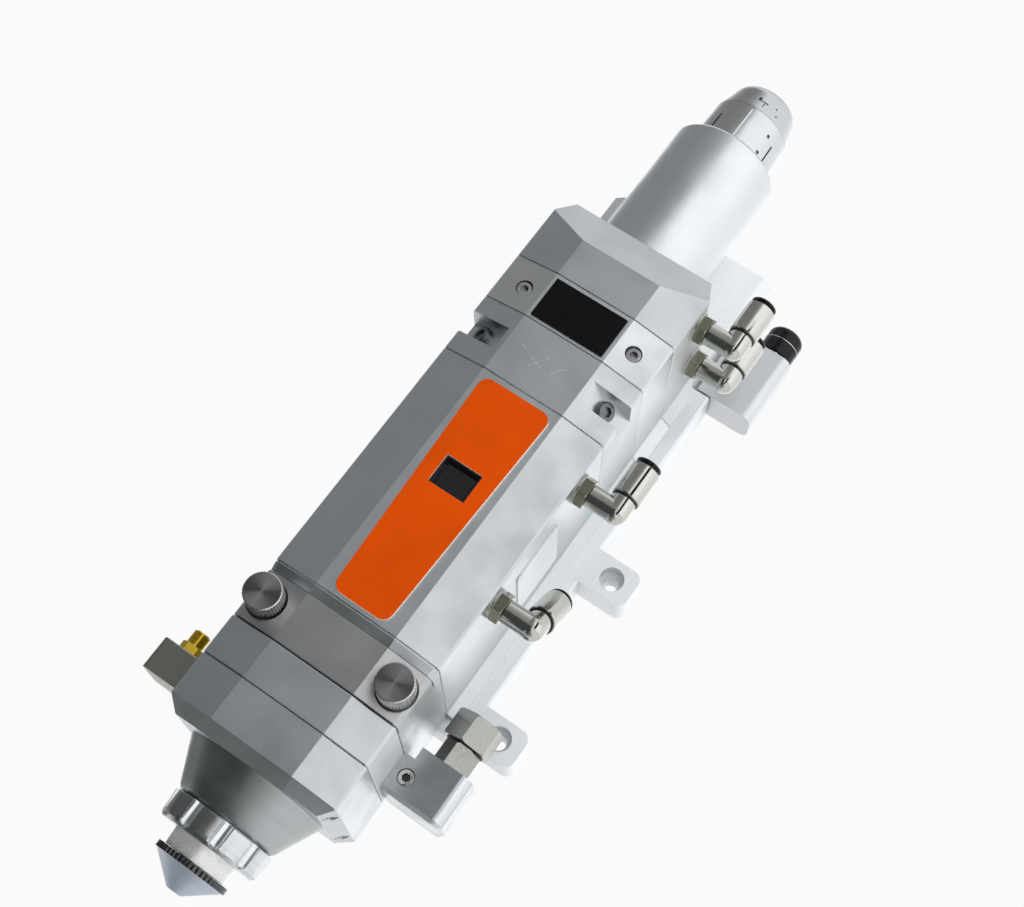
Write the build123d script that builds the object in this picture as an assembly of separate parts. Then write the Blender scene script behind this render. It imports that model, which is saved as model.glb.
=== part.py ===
from build123d import *
import os
from math import cos, pi, sqrt

# Laser cutting head, in millimetres. The beam runs down along Z, the drawer and the
# sight window face -Y, and the origin is the centre of the four tapped holes in the
# flat rear face, which is the plane Y = 0.

# Faceted body, seen in plan
BODY_W = 78.0
FACET_W = 38.0
FACET_DROP = 4.1
AXIS_DEPTH = 38.0
SIDE_DEPTH = 72.5
BACK_DEPTH = 77.0
MOUNT_DEPTH = 96.0
FLARE = 4.7
EDGE = 1.0
DRAWER_EDGE = 2.0
SEAM_BREAK = 0.35
SMALL_BREAK = 0.4

# Heights of the stacked blocks, from the seam above the main body
MAIN_TOP_Z = 64.5
MAIN_H = 111.5
HOUSING_H = 27.0
SENSOR_H = 17.9
NOZZLE_BLOCK_H = 24.4
UPPER_H = 29.1
BAND_H = 23.6
CAP_FRONT_H = 19.1
CAP_SLOPE_H = 18.2
CAP_SLOPE_Y = 9.7
CAP_SIDE_IN = 5.0
CAP_SIDE_H = 10.5
BOTTOM_SLOPE = 5.5
SLOPE_SCREW_DEPTHS = (17.8, 58.8)
SLOPE_SCREW_SINK = 0.4
SLOPE_SCREW_L = 9.0
SLOPE_KEY_D = 1.0
SLOPE_HEAD_R = 2.9
M3_R = 1.5

# Clearances
SLIDE = 0.3
SCREW_FIT = 0.15
RUNNING = 0.05
SEAT = 0.1

# Beam passage and inner space
BEAM_R = 15.0
CAVITY_W = 41.0
CAVITY_FRONT = 12.0
CAVITY_BACK = 5.0
CAVITY_R = 4.0

# Fibre tube and its collar
TUBE_R = 25.5
TUBE_BORE_R = 20.5
TUBE_H = 71.0
TUBE_EDGE = 2.0
TUBE_SPIGOT_R = 23.0
TUBE_SPIGOT_H = 12.0
COLLAR_R = 19.6
COLLAR_TOP_R = 18.8
COLLAR_H = 21.0
COLLAR_FOOT_R = 21.0
COLLAR_FOOT_H = 0.8
COLLAR_SPIGOT_H = 14.0
COLLAR_NECK_R = 12.0
COLLAR_NECK_H = 11.0
RING_R = 18.6
RING_TOP_R = 15.0
RING_H = 14.8
RING_ROUND = 2.2
FIBRE_BORE_R = 6.0
SET_HOLE_R = 0.9
SET_HOLE_D = 3.0
SET_HOLE_HEIGHTS = (4.0, 14.0)
SET_HOLE_TURN = 40.0
SPANNER_W = 0.9
SPANNER_H = 11.5
SPANNER_TURN = 54.0

# Nozzle end
CONE_TOP_R = 31.6
CONE_R = 22.9
CONE_H = 19.7
CONE_ROUND = 1.5
CONE_BORE_R = 11.0
CONE_SPIGOT_H = 8.0
SPIGOT_R = 19.5
SPIGOT_H = 7.2
NUT_TOP_R = 23.1
NUT_LOW_R = 22.4
NUT_H = 11.2
NUT_CHAMFER = 1.6
NUT_CHAMFER_W = 1.1
NUT_EDGE = 0.5
NUT_GAP = 0.4
FLUTES = 10
FLUTE_R = 2.8
FLUTE_DEPTH = 1.9
FLUTE_END = 2.7
CERAMIC_R = 14.4
CERAMIC_LOW_R = 13.8
CERAMIC_FLANGE_H = 2.5
CERAMIC_NECK_H = 9.2
CERAMIC_BORE_R = 7.3
NOZZLE_R = 16.2
NOZZLE_RIM_H = 2.6
NOZZLE_CONE_R = 15.4
NOZZLE_TIP_R = 3.25
NOZZLE_CONE_H = 9.6
NOZZLE_SHANK_H = 7.5
NOZZLE_WALL = 1.2
ORIFICE_R = 0.75
ORIFICE_L = 2.0
KNURLS = 48
KNURL_DEPTH = 0.45

# Window drawer and its thumbscrews
DRAWER_H = 22.1
DRAWER_T = 14.0
STRIP_BEVEL = 1.2
TRAY_W = 51.0
TRAY_H = 10.4
TRAY_REACH = 28.0
WINDOW_R = 18.5
WINDOW_T = 7.0
SEAL_T = 1.2
THUMB_X = 31.0
THUMB_R = 7.8
THUMB_REACH = 9.2
THUMB_SEAT = 2.9
THUMB_SHANK_R = 3.0
THUMB_GRIP = 12.0
THUMB_KNURLS = 40
THUMB_KNURL_DEPTH = 0.32
THUMB_BREAK = 0.5
THUMB_SPOT_GAP = 0.6
TRAY_BREAK = 1.0
SEAL_W = 2.5

# Orange front plate and sight window
PLATE_T = 1.2
PLATE_TOP_W = 33.6
PLATE_LOW_W = 25.8
PLATE_H = 106.4
PLATE_TOP_GAP = 3.1
PLATE_CORNER = 4.5
SIGHT_W = 16.8
SIGHT_H = 13.2
SIGHT_Z = 18.2
SIGHT_HOLE_W = 13.0
SIGHT_HOLE_H = 9.4
BEZEL_T = 2.4
BEZEL_PROUD = 0.8
BEZEL_RIM = 0.6
GLASS_T = 1.6

# Black plate, side plate and band screws
BLACK_W = 34.8
BLACK_H = 19.6
BLACK_T = 1.0
SIDE_PLATE_L = 40.0
SIDE_PLATE_H = 28.5
SIDE_PLATE_T = 0.6
SIDE_PLATE_DEPTH = 42.0
SIDE_PLATE_Z = 18.2
BAND_SCREW_X = 27.0
M4_HEAD_R = 3.5
M4_HEAD_H = 4.0
M4_R = 2.0
M4_L = 10.0
BAND_SCREW_DROP = 0.8
BAND_SCREW_SINK = 0.3
BLACK_DROP = 0.3

# Socket screws, as shares of the head
HEAD_BREAK = 0.1
KEY_SHARE = 0.55

# Corner pockets of the upper body
POCKET_LOW = 9.5
POCKET_H = 11.0
POCKET_IN = 18.5
POCKET_BACK = 17.5
POCKET_HEAD_H = 2.5
POCKET_SCREW_UP = 5.0
POCKET_SCREW_L = 8.0
M5_HEAD_R = 4.25
M5_HEAD_H = 5.0
M5_R = 2.5

# Rear plate, lugs and tapped holes
REAR_PLATE_W = 101.4
REAR_PLATE_LOW = 54.0
REAR_PLATE_TOP = 139.5
LUG_REACH = 73.0
LUG_H = 17.5
LUG_SPACING = 85.0
LUG_HOLE_X = 62.0
LUG_HOLE_R = 3.3
LUG_SINK_R = 5.5
LUG_SINK_D = 7.0
LUG_CORNER = 4.5
TAP_SPACING_X = 60.0
TAP_SPACING_Z = 90.0
TAP_R = 2.5
TAP_DEPTH = 12.0
PLATE_SCREW_X = 36.0
PLATE_SCREW_LOW = 30.0
PLATE_SCREW_HIGH = 85.0
PLATE_SCREW_GRIP = 12.0
PLATE_SCREW_SINK = 0.5

# Rear housing, connector box and its capped socket
HOUSING_TOP_Z = 206.8
BOX_REACH = 72.0
BOX_GAP = 1.0
BOX_H = 36.0
BOX_ROUND = 5.0
SOCKET_R = 6.5
SOCKET_H = 7.0
SOCKET_FLANGE_T = 1.2
SOCKET_WALL = 1.5
SOCKET_X = 62.5
DUST_CAP_R = 8.5
DUST_CAP_H = 14.5
DUST_CAP_ROUND = 4.0
DUST_RING_Z = 6.5
DUST_RING_W = 0.8
DUST_RING_D = 0.4

# Sensor box on the left
SENSOR_BOX_REACH = 62.0
SENSOR_BOX_FRONT = 25.0
SENSOR_BOX_D = 25.0
SENSOR_BOX_H = 14.5
SENSOR_BOX_Z = -107.5
SENSOR_BOX_ROUND = 2.0
BRASS_AF = 8.6
BRASS_NUT_H = 4.2
BRASS_NUT_TURN = 10.0
BRASS_R = 3.55
BRASS_H = 10.5
BRASS_SOCKET_R = 2.55
BRASS_SOCKET_D = 4.1
BRASS_PIN_R = 0.6
BRASS_PIN_TOP = 1.1
BRASS_X = -54.0

# Elbow fittings: depth from the front, height, and turn of the sleeve about X
FITTINGS = [(14.0, 136.0, 0.0), (46.0, 136.0, 0.0), (14.0, 47.5, 0.0), (14.0, -11.0, -38.0)]
WASHER_R = 6.8
WASHER_T = 1.2
HEX_AF = 12.0
HEX_T = 4.4
STEM_R = 3.3
STEM_L = 11.0
STEM_BORE_R = 2.0
THREAD_R = 4.8
THREAD_L = 7.0
BARREL_R = 5.0
ELBOW_X = 18.0
NECK_R = 5.3
NECK_H = 6.0
GROOVE_H = 0.9
GROOVE_R = 4.3
SLEEVE_R = 6.3
SLEEVE_H = 15.2
COLLET_R = 4.6
COLLET_L = 8.8
COLLET_FLANGE_R = 5.7
COLLET_FLANGE_T = 1.2
COLLET_TRAVEL = 1.0
TUBE_PORT_R = 3.05
TUBE_STOP_H = 7.0

# Gas inlet
GAS_BLOCK_FRONT = 45.0
GAS_BLOCK_D = 27.0
GAS_BLOCK_REACH = 68.0
GAS_BLOCK_H = 22.5
GAS_BLOCK_Z = -90.5
GAS_ROUND = 5.0
GAS_STEP_W = 5.0
GAS_STEP_H = 5.5
GAS_X = 55.5
GAS_DEPTH = 58.0
GAS_CHANNEL_R = 3.0
GAS_CHANNEL_Z = 8.0
GAS_SCREW_X = 6.5
GAS_SCREW_Z = 9.0
GAS_SCREW_L = 15.0
GAS_EDGE = 1.6
ADAPTOR_TURN = 12.0
NUT_TURN = 22.0
NUT_ROOF = 2.5
ADAPTOR_AF = 14.0
ADAPTOR_H = 11.0
ADAPTOR_NECK_R = 6.0
ADAPTOR_NECK_H = 9.5
GAS_NUT_AF = 19.0
GAS_NUT_H = 12.6
GAS_TUBE_R = 4.0

# Focus unit and collimator
CELL_R = 17.5
CELL_H = 24.0
CELL_Z = 18.2
LENS_R = 15.0
LENS_T = 5.0
LENS_BULGE = 1.2
LENS_LEDGE = 1.5
LENS_DEPTH = 10.0
ROD_X = 15.5
ROD_DEPTH = 61.0
ROD_R = 3.0
ROD_BOSS_R = 4.6
SCREW_DEPTH = 64.5
SCREW_R = 2.5
SCREW_PIVOT = 4.0
SCREW_LUG_W = 12.0
SCREW_LUG_H = 12.0
SCREW_LUG_WALL = 4.5
ARM_H = 8.0
MOTOR_R = 6.8
MOTOR_H = 20.0
MOTOR_SOCKET = 6.0
COLLIMATOR_R = 22.0
COLLIMATOR_FLOOR = 4.0

# Places that follow from the sizes above
FRONT_Y = -MOUNT_DEPTH
AXIS_Y = FRONT_Y + AXIS_DEPTH
SIDE_Y = FRONT_Y + SIDE_DEPTH
BACK_Y = FRONT_Y + BACK_DEPTH
HALF_W = BODY_W / 2
MAIN_BOTTOM_Z = MAIN_TOP_Z - MAIN_H
HOUSING_BOTTOM_Z = MAIN_BOTTOM_Z - HOUSING_H
SENSOR_BOTTOM_Z = HOUSING_BOTTOM_Z - SENSOR_H
BLOCK_BOTTOM_Z = SENSOR_BOTTOM_Z - NOZZLE_BLOCK_H
UPPER_TOP_Z = MAIN_TOP_Z + UPPER_H
BAND_TOP_Z = UPPER_TOP_Z + BAND_H
CAP_TOP_Z = BAND_TOP_Z + CAP_FRONT_H + CAP_SLOPE_H
TUBE_TOP_Z = CAP_TOP_Z + TUBE_H
COLLAR_TOP_Z = TUBE_TOP_Z + COLLAR_H
CONE_BOTTOM_Z = BLOCK_BOTTOM_Z - CONE_H
NUT_TOP_Z = CONE_BOTTOM_Z - NUT_GAP
NUT_BOTTOM_Z = NUT_TOP_Z - NUT_H
FLANGE_TOP_Z = CONE_BOTTOM_Z - SPIGOT_H
FLANGE_LOW_Z = FLANGE_TOP_Z - CERAMIC_FLANGE_H
NECK_LOW_Z = FLANGE_LOW_Z - CERAMIC_NECK_H
RIM_TOP_Z = NECK_LOW_Z - SLIDE
DRAWER_BOTTOM_Z = HOUSING_BOTTOM_Z + SLIDE
DRAWER_TOP_Z = DRAWER_BOTTOM_Z + DRAWER_H
DRAWER_MID_Z = (DRAWER_BOTTOM_Z + DRAWER_TOP_Z) / 2
TRAY_BACK_Y = AXIS_Y + TRAY_REACH
CAVITY_TOP_Y = BACK_Y - CAVITY_BACK


def at_axis(shape):
    """The shape, made about the Z axis, moved onto the beam axis."""
    return Pos(0, AXIS_Y, 0) * shape


def tube_between(radius, z_low, z_high, bore=0.0):
    """An upright round bar or ring between two heights, about the Z axis."""
    mid = (z_low + z_high) / 2
    bar = Pos(0, 0, mid) * Cylinder(radius, z_high - z_low)
    if bore:
        bar -= Pos(0, 0, mid) * Cylinder(bore, z_high - z_low)
    return bar


def box_between(x0, x1, y0, y1, z0, z1):
    """A box between pairs of coordinates."""
    centre = Pos((x0 + x1) / 2, (y0 + y1) / 2, (z0 + z1) / 2)
    return centre * Box(x1 - x0, y1 - y0, z1 - z0)


def hexagon_bar(across_flats, height, turn=0.0):
    """A hexagon bar standing on the plane Z = 0, with its corners chamfered at both ends."""
    corner_r = across_flats / 2 / cos(pi / 6)
    bar = extrude(Rot(0, 0, turn) * RegularPolygon(corner_r, 6), amount=height)
    rounding = Cylinder(corner_r, height, align=(Align.CENTER, Align.CENTER, Align.MIN))
    rounding = chamfer(rounding.edges().filter_by(GeomType.CIRCLE), (corner_r - across_flats / 2) * 0.6)
    return bar & rounding


def revolved(points):
    """A solid of revolution about the Z axis, from (radius, height) points."""
    outline = make_face(Polyline(*[(r, 0, z) for r, z in points], close=True))
    return revolve(outline, Axis.Z)


def body_outline(back_depth=BACK_DEPTH, flare=0.0):
    """Plan of the body: a flat centre facet, two facets that fall back and a flare at the rear."""
    facet = FACET_W / 2
    side_y = FRONT_Y + FACET_DROP
    back_y = FRONT_Y + back_depth
    right = [(facet, FRONT_Y), (HALF_W, side_y), (HALF_W, SIDE_Y if flare else back_y)]
    if flare:
        right.append((HALF_W + flare, back_y))
    left = [(-x, y) for x, y in reversed(right)]
    return make_face(Polyline(*right, *left, close=True))


def body_block(z_low, z_high, back_depth=BACK_DEPTH, flare=0.0, edge_break=EDGE):
    """One block of the body, with its front corners and its seam edges broken."""
    block = extrude(Pos(0, 0, z_low) * body_outline(back_depth, flare), amount=z_high - z_low)
    corner_y = FRONT_Y + FACET_DROP
    corners = [
        edge
        for edge in block.edges().filter_by(Axis.Z)
        if abs(abs(edge.center().X) - HALF_W) < 0.01 and abs(edge.center().Y - corner_y) < 0.01
    ]
    block = chamfer(corners, edge_break)
    rims = block.faces().sort_by(Axis.Z)[0].edges() + block.faces().sort_by(Axis.Z)[-1].edges()
    return chamfer(rims, SEAM_BREAK)


def front_y_at(x):
    """Y of the faceted front at a place across the body."""
    facet = FACET_W / 2
    fall = FACET_DROP * (abs(x) - facet) / (HALF_W - facet)
    return FRONT_Y + max(0.0, fall)


def facing_front(shape, x, y, z):
    """A shape made about Z, laid down so that its +Z end points forward along -Y."""
    return Pos(x, y, z) * Rot(90, 0, 0) * shape


def socket_screw(head_r, head_h, shank_r, shank_l):
    """A socket head screw about Z: the head's top is at Z = 0 and the shank points down."""
    head = Pos(0, 0, -head_h / 2) * Cylinder(head_r, head_h)
    head = chamfer(head.edges().sort_by(Axis.Z)[-1], head_r * HEAD_BREAK)
    key = extrude(RegularPolygon(head_r * KEY_SHARE, 6), amount=-head_h * KEY_SHARE)
    shank = Pos(0, 0, -head_h - shank_l / 2) * Cylinder(shank_r, shank_l)
    return head - key + shank


def screw_hole(head_r, head_h, shank_r, shank_l, above=10.0):
    """The counterbored hole for a socket screw, with a head that stays below the surface."""
    head = Pos(0, 0, (above - head_h) / 2) * Cylinder(head_r + SCREW_FIT, above + head_h)
    shank = Pos(0, 0, -head_h - shank_l / 2) * Cylinder(shank_r + SCREW_FIT, shank_l + SLIDE)
    return head + shank


def front_screws(x, y_back, z):
    """Places of a pair of forward-facing screws, one each side."""
    return [Pos(side * x, y_back, z) * Rot(90, 0, 0) for side in (-1, 1)]


def knurl_cut(depth, height):
    """A square bar on edge that cuts one V groove of a knurl."""
    side = depth * sqrt(2)
    return Rot(0, 0, 45) * Box(side, side, height)


def save(shape, name):
    """Writes one piece."""
    if isinstance(shape, (list, ShapeList)):
        shape = Compound(children=list(shape))
    export_step(shape, f"parts/{name}.step")


def make_nozzle():
    """Plated nozzle: knurled rim, cone to the tip, and a shank that screws into the ceramic."""
    rim_low = RIM_TOP_Z - NOZZLE_RIM_H
    tip = rim_low - NOZZLE_CONE_H
    shank_r = CERAMIC_BORE_R - SLIDE
    shank_top = RIM_TOP_Z + NOZZLE_SHANK_H
    body = revolved([
        (0, shank_top), (shank_r, shank_top), (shank_r, RIM_TOP_Z), (NOZZLE_R, RIM_TOP_Z),
        (NOZZLE_R, rim_low), (NOZZLE_CONE_R, rim_low), (NOZZLE_TIP_R, tip), (0, tip),
    ])
    bore = revolved([
        (0, shank_top), (shank_r - NOZZLE_WALL, shank_top), (ORIFICE_R, tip + ORIFICE_L),
        (ORIFICE_R, tip), (0, tip),
    ])
    grooves = []
    for step in range(KNURLS):
        groove = knurl_cut(KNURL_DEPTH, NOZZLE_RIM_H)
        height = RIM_TOP_Z - NOZZLE_RIM_H / 2
        grooves.append(Rot(0, 0, 360 / KNURLS * step) * Pos(NOZZLE_R, 0, height) * groove)
    return at_axis(body - bore - grooves)


def make_ceramic_ring():
    """White ceramic ring, held by its flange under the lock nut."""
    flange_r = SPIGOT_R - SEAT
    ring = revolved([
        (CERAMIC_BORE_R, FLANGE_TOP_Z), (flange_r, FLANGE_TOP_Z), (flange_r, FLANGE_LOW_Z),
        (CERAMIC_R, FLANGE_LOW_Z), (CERAMIC_LOW_R, NECK_LOW_Z), (CERAMIC_BORE_R, NECK_LOW_Z),
    ])
    return at_axis(ring)


def make_lock_nut():
    """Ring nut with round-ended finger flutes and a lip that carries the ceramic flange."""
    inner = SPIGOT_R + SLIDE
    lip = CERAMIC_R + SLIDE
    lip_top = FLANGE_LOW_Z - SLIDE
    nut = revolved([
        (inner, NUT_TOP_Z), (NUT_TOP_R - NUT_EDGE, NUT_TOP_Z), (NUT_TOP_R, NUT_TOP_Z - NUT_EDGE),
        (NUT_LOW_R, NUT_BOTTOM_Z + NUT_CHAMFER), (NUT_LOW_R - NUT_CHAMFER_W, NUT_BOTTOM_Z),
        (lip, NUT_BOTTOM_Z), (lip, lip_top), (inner, lip_top),
    ])
    end_z = NUT_BOTTOM_Z + FLUTE_END
    centre_r = NUT_LOW_R + FLUTE_R - FLUTE_DEPTH
    flute = tube_between(FLUTE_R, end_z, NUT_TOP_Z + 1) + Pos(0, 0, end_z) * Sphere(FLUTE_R)
    flutes = [
        Rot(0, 0, 360 / FLUTES * step) * Pos(centre_r, 0, 0) * flute for step in range(FLUTES)
    ]
    return at_axis(nut - flutes)


def make_sensor_cone():
    """Conical nose under the block, with the threaded spigot for the lock nut."""
    top_in = BLOCK_BOTTOM_Z + CONE_SPIGOT_H
    cone = revolved([
        (CONE_BORE_R, top_in), (SPIGOT_R, top_in), (SPIGOT_R, BLOCK_BOTTOM_Z),
        (CONE_TOP_R, BLOCK_BOTTOM_Z), (CONE_R, CONE_BOTTOM_Z + CONE_ROUND),
        (CONE_R - CONE_ROUND, CONE_BOTTOM_Z), (SPIGOT_R, CONE_BOTTOM_Z), (SPIGOT_R, FLANGE_TOP_Z),
        (CONE_BORE_R, FLANGE_TOP_Z),
    ])
    return at_axis(cone)


def block_screw_places():
    """The countersunk screws in the sloped bottom sides of the nozzle block."""
    mid_x = HALF_W - BOTTOM_SLOPE / 2
    mid_z = BLOCK_BOTTOM_Z + BOTTOM_SLOPE / 2
    places = []
    for side in (-1, 1):
        for depth in SLOPE_SCREW_DEPTHS:
            places.append(Pos(side * mid_x, FRONT_Y + depth, mid_z) * Rot(0, side * 135, 0))
    return places


def block_screw():
    """A countersunk socket screw about Z, its flat top a little below Z = 0."""
    neck_z = -SLOPE_SCREW_SINK - SLOPE_HEAD_R + M3_R
    head = revolved([
        (0, -SLOPE_SCREW_SINK), (SLOPE_HEAD_R, -SLOPE_SCREW_SINK), (M3_R, neck_z),
        (M3_R, -SLOPE_SCREW_L), (0, -SLOPE_SCREW_L),
    ])
    key = RegularPolygon(SLOPE_HEAD_R * KEY_SHARE, 6)
    return head - extrude(Pos(0, 0, -SLOPE_SCREW_SINK) * key, amount=-SLOPE_KEY_D)


def make_nozzle_block():
    """Lowest block, with sloped lower edges all round."""
    block = body_block(BLOCK_BOTTOM_Z, SENSOR_BOTTOM_Z, SIDE_DEPTH)
    keep_high = BLOCK_BOTTOM_Z + BOTTOM_SLOPE
    low = extrude(Pos(0, 0, BLOCK_BOTTOM_Z) * body_outline(SIDE_DEPTH), amount=BOTTOM_SLOPE * 2)
    low = chamfer(low.faces().sort_by(Axis.Z)[0].edges(), BOTTOM_SLOPE)
    above = box_between(-HALF_W - 1, HALF_W + 1, FRONT_Y - 1, 0, keep_high, SENSOR_BOTTOM_Z + 1)
    block = (block & above) + (low & block)
    block -= at_axis(tube_between(SPIGOT_R + SEAT, BLOCK_BOTTOM_Z - 1, SENSOR_BOTTOM_Z + 1))
    wide = SLOPE_HEAD_R + SCREW_FIT
    narrow = M3_R + SCREW_FIT
    hole = revolved([
        (0, 1), (wide, 1), (wide, -SLOPE_SCREW_SINK), (narrow, -SLOPE_SCREW_SINK - wide + narrow),
        (narrow, -SLOPE_SCREW_L - SLIDE), (0, -SLOPE_SCREW_L - SLIDE),
    ])
    return block - [place * hole for place in block_screw_places()]


def make_sensor_block():
    """Flat block between the nozzle block and the drawer."""
    block = body_block(SENSOR_BOTTOM_Z, HOUSING_BOTTOM_Z, SIDE_DEPTH)
    return block - at_axis(tube_between(BEAM_R, SENSOR_BOTTOM_Z - 1, HOUSING_BOTTOM_Z + 1))


def make_sensor_box():
    """Small electronics box on the left of the nozzle block."""
    y0 = FRONT_Y + SENSOR_BOX_FRONT
    box = box_between(
        -SENSOR_BOX_REACH, -HALF_W, y0, y0 + SENSOR_BOX_D, SENSOR_BOX_Z, SENSOR_BOX_Z + SENSOR_BOX_H
    )
    outer = box.edges().filter_by(Axis.Z).group_by(Axis.X)[0]
    box = fillet(outer, SENSOR_BOX_ROUND)
    return chamfer(box.faces().sort_by(Axis.Z)[-1].edges(), SMALL_BREAK)


def make_brass_connector():
    """Brass coaxial socket that stands on the sensor box."""
    top = SENSOR_BOX_Z + SENSOR_BOX_H
    place = Pos(BRASS_X, FRONT_Y + SENSOR_BOX_FRONT + SENSOR_BOX_D / 2, top)
    base = hexagon_bar(BRASS_AF, BRASS_NUT_H, BRASS_NUT_TURN)
    barrel = tube_between(BRASS_R, BRASS_NUT_H, BRASS_H)
    barrel = chamfer(barrel.edges().sort_by(Axis.Z)[-1], SMALL_BREAK)
    socket = tube_between(BRASS_SOCKET_R, BRASS_H - BRASS_SOCKET_D, BRASS_H + 1)
    pin = tube_between(BRASS_PIN_R, BRASS_H - BRASS_SOCKET_D, BRASS_H - BRASS_PIN_TOP)
    return place * (base + barrel - socket + pin)


def make_lower_housing():
    """Drawer housing: a closed block with the front cut back for the drawer and its pocket."""
    block = body_block(HOUSING_BOTTOM_Z, MAIN_BOTTOM_Z, BACK_DEPTH, edge_break=DRAWER_EDGE)
    slot_y = FRONT_Y + DRAWER_T + SLIDE
    slot_top = DRAWER_TOP_Z + SLIDE
    block -= box_between(-HALF_W - 1, HALF_W + 1, FRONT_Y - 1, slot_y, HOUSING_BOTTOM_Z - 1, slot_top)
    half = TRAY_W / 2 + SLIDE
    low = DRAWER_MID_Z - TRAY_H / 2 - SLIDE
    high = DRAWER_MID_Z + TRAY_H / 2 + SLIDE
    block -= box_between(-half, half, FRONT_Y, TRAY_BACK_Y + SLIDE, low, high)
    block -= at_axis(tube_between(BEAM_R, HOUSING_BOTTOM_Z - 1, MAIN_BOTTOM_Z + 1))
    under = [f for f in block.faces().filter_by(Plane.XY) if abs(f.center().Z - slot_top) < 0.01][0]
    front_y = FRONT_Y + FACET_DROP + DRAWER_EDGE
    front = [edge for edge in under.edges() if edge.center().Y < front_y and abs(edge.center().X) < HALF_W]
    strip_h = MAIN_BOTTOM_Z - slot_top
    block = chamfer(front, STRIP_BEVEL, strip_h - 2 * SEAM_BREAK, reference=under)
    for place in thumb_places():
        block -= place * tube_between(THUMB_SHANK_R + SLIDE, -DRAWER_T - THUMB_GRIP - 2, 0)
    pivot = tube_between(SCREW_R + RUNNING, MAIN_BOTTOM_Z - SCREW_PIVOT, MAIN_BOTTOM_Z + 1)
    bearing = Pos(0, FRONT_Y + SCREW_DEPTH, 0) * pivot
    return block - bearing


def thumb_places():
    """Thumbscrew axes: made about Z, pointing forward from the spot-faced seats."""
    seat_y = FRONT_Y + THUMB_SEAT
    return [Pos(side * THUMB_X, seat_y, DRAWER_MID_Z) * Rot(90, 0, 0) for side in (-1, 1)]


def make_drawer_front():
    """Drawer front slab with spot faces and holes for the thumbscrews."""
    slab = body_block(DRAWER_BOTTOM_Z, DRAWER_TOP_Z, BACK_DEPTH, edge_break=DRAWER_EDGE)
    slab &= box_between(-HALF_W, HALF_W, FRONT_Y - 1, FRONT_Y + DRAWER_T, HOUSING_BOTTOM_Z, MAIN_BOTTOM_Z)
    for place in thumb_places():
        slab -= place * tube_between(THUMB_R + THUMB_SPOT_GAP, 0, THUMB_REACH)
        slab -= place * tube_between(THUMB_SHANK_R + SLIDE, -DRAWER_T - 1, 1)
    return slab


def make_drawer_tray():
    """Tray behind the drawer front, with the window's stepped pocket and the beam hole."""
    y0 = FRONT_Y + DRAWER_T
    low = DRAWER_MID_Z - TRAY_H / 2
    high = DRAWER_MID_Z + TRAY_H / 2
    tray = box_between(-TRAY_W / 2, TRAY_W / 2, y0, TRAY_BACK_Y, low, high)
    tray = chamfer(tray.faces().sort_by(Axis.Y)[-1].edges(), TRAY_BREAK)
    pocket_z = high - WINDOW_T - SEAL_T
    tray -= at_axis(tube_between(WINDOW_R + SEAT, pocket_z, high + 1))
    return tray - at_axis(tube_between(BEAM_R, low - 1, high))


def make_window():
    """Protective window: a flat round quartz disc with a small bevel."""
    low = DRAWER_MID_Z + TRAY_H / 2 - WINDOW_T - SEAL_T
    disc = tube_between(WINDOW_R, low, low + WINDOW_T)
    return at_axis(chamfer(disc.edges().filter_by(GeomType.CIRCLE), SMALL_BREAK))


def make_window_seal():
    """Flat seal ring on the window."""
    high = DRAWER_MID_Z + TRAY_H / 2
    return at_axis(tube_between(WINDOW_R, high - SEAL_T, high, WINDOW_R - SEAL_W))


def make_thumbscrews():
    """The two knurled thumbscrews, left and right."""
    gap = SLIDE
    top = THUMB_REACH + THUMB_SEAT
    screws = []
    for place in thumb_places():
        head = tube_between(THUMB_R, gap, top)
        head = chamfer(head.edges().filter_by(GeomType.CIRCLE), THUMB_BREAK)
        shank = tube_between(THUMB_SHANK_R, -DRAWER_T - THUMB_GRIP, gap)
        grooves = []
        for step in range(THUMB_KNURLS):
            groove = knurl_cut(THUMB_KNURL_DEPTH, top)
            grooves.append(Rot(0, 0, 360 / THUMB_KNURLS * step) * Pos(THUMB_R, 0, gap + top / 2) * groove)
        screws.append(place * (head + shank - grooves))
    return screws


def make_main_body():
    """Main body: the tall faceted block with the focus unit's chamber and the sight hole."""
    block = body_block(MAIN_BOTTOM_Z, MAIN_TOP_Z, BACK_DEPTH, FLARE)
    chamber = box_between(
        -CAVITY_W / 2, CAVITY_W / 2, FRONT_Y + CAVITY_FRONT, CAVITY_TOP_Y, MAIN_BOTTOM_Z - 1, MAIN_TOP_Z + 1
    )
    chamber = fillet(chamber.edges().filter_by(Axis.Z), CAVITY_R)
    block -= chamber
    seat_depth = BEZEL_T + GLASS_T
    block -= box_between(
        -SIGHT_W / 2 - SEAT, SIGHT_W / 2 + SEAT, FRONT_Y - 1, FRONT_Y + seat_depth,
        SIGHT_Z - SIGHT_H / 2 - SEAT, SIGHT_Z + SIGHT_H / 2 + SEAT,
    )
    block -= box_between(
        -SIGHT_HOLE_W / 2, SIGHT_HOLE_W / 2, FRONT_Y, FRONT_Y + CAVITY_FRONT + 1,
        SIGHT_Z - SIGHT_HOLE_H / 2, SIGHT_Z + SIGHT_HOLE_H / 2,
    )
    return block - fitting_taps(MAIN_BOTTOM_Z, MAIN_TOP_Z) - plate_screw_taps(MAIN_BOTTOM_Z, MAIN_TOP_Z)


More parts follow.
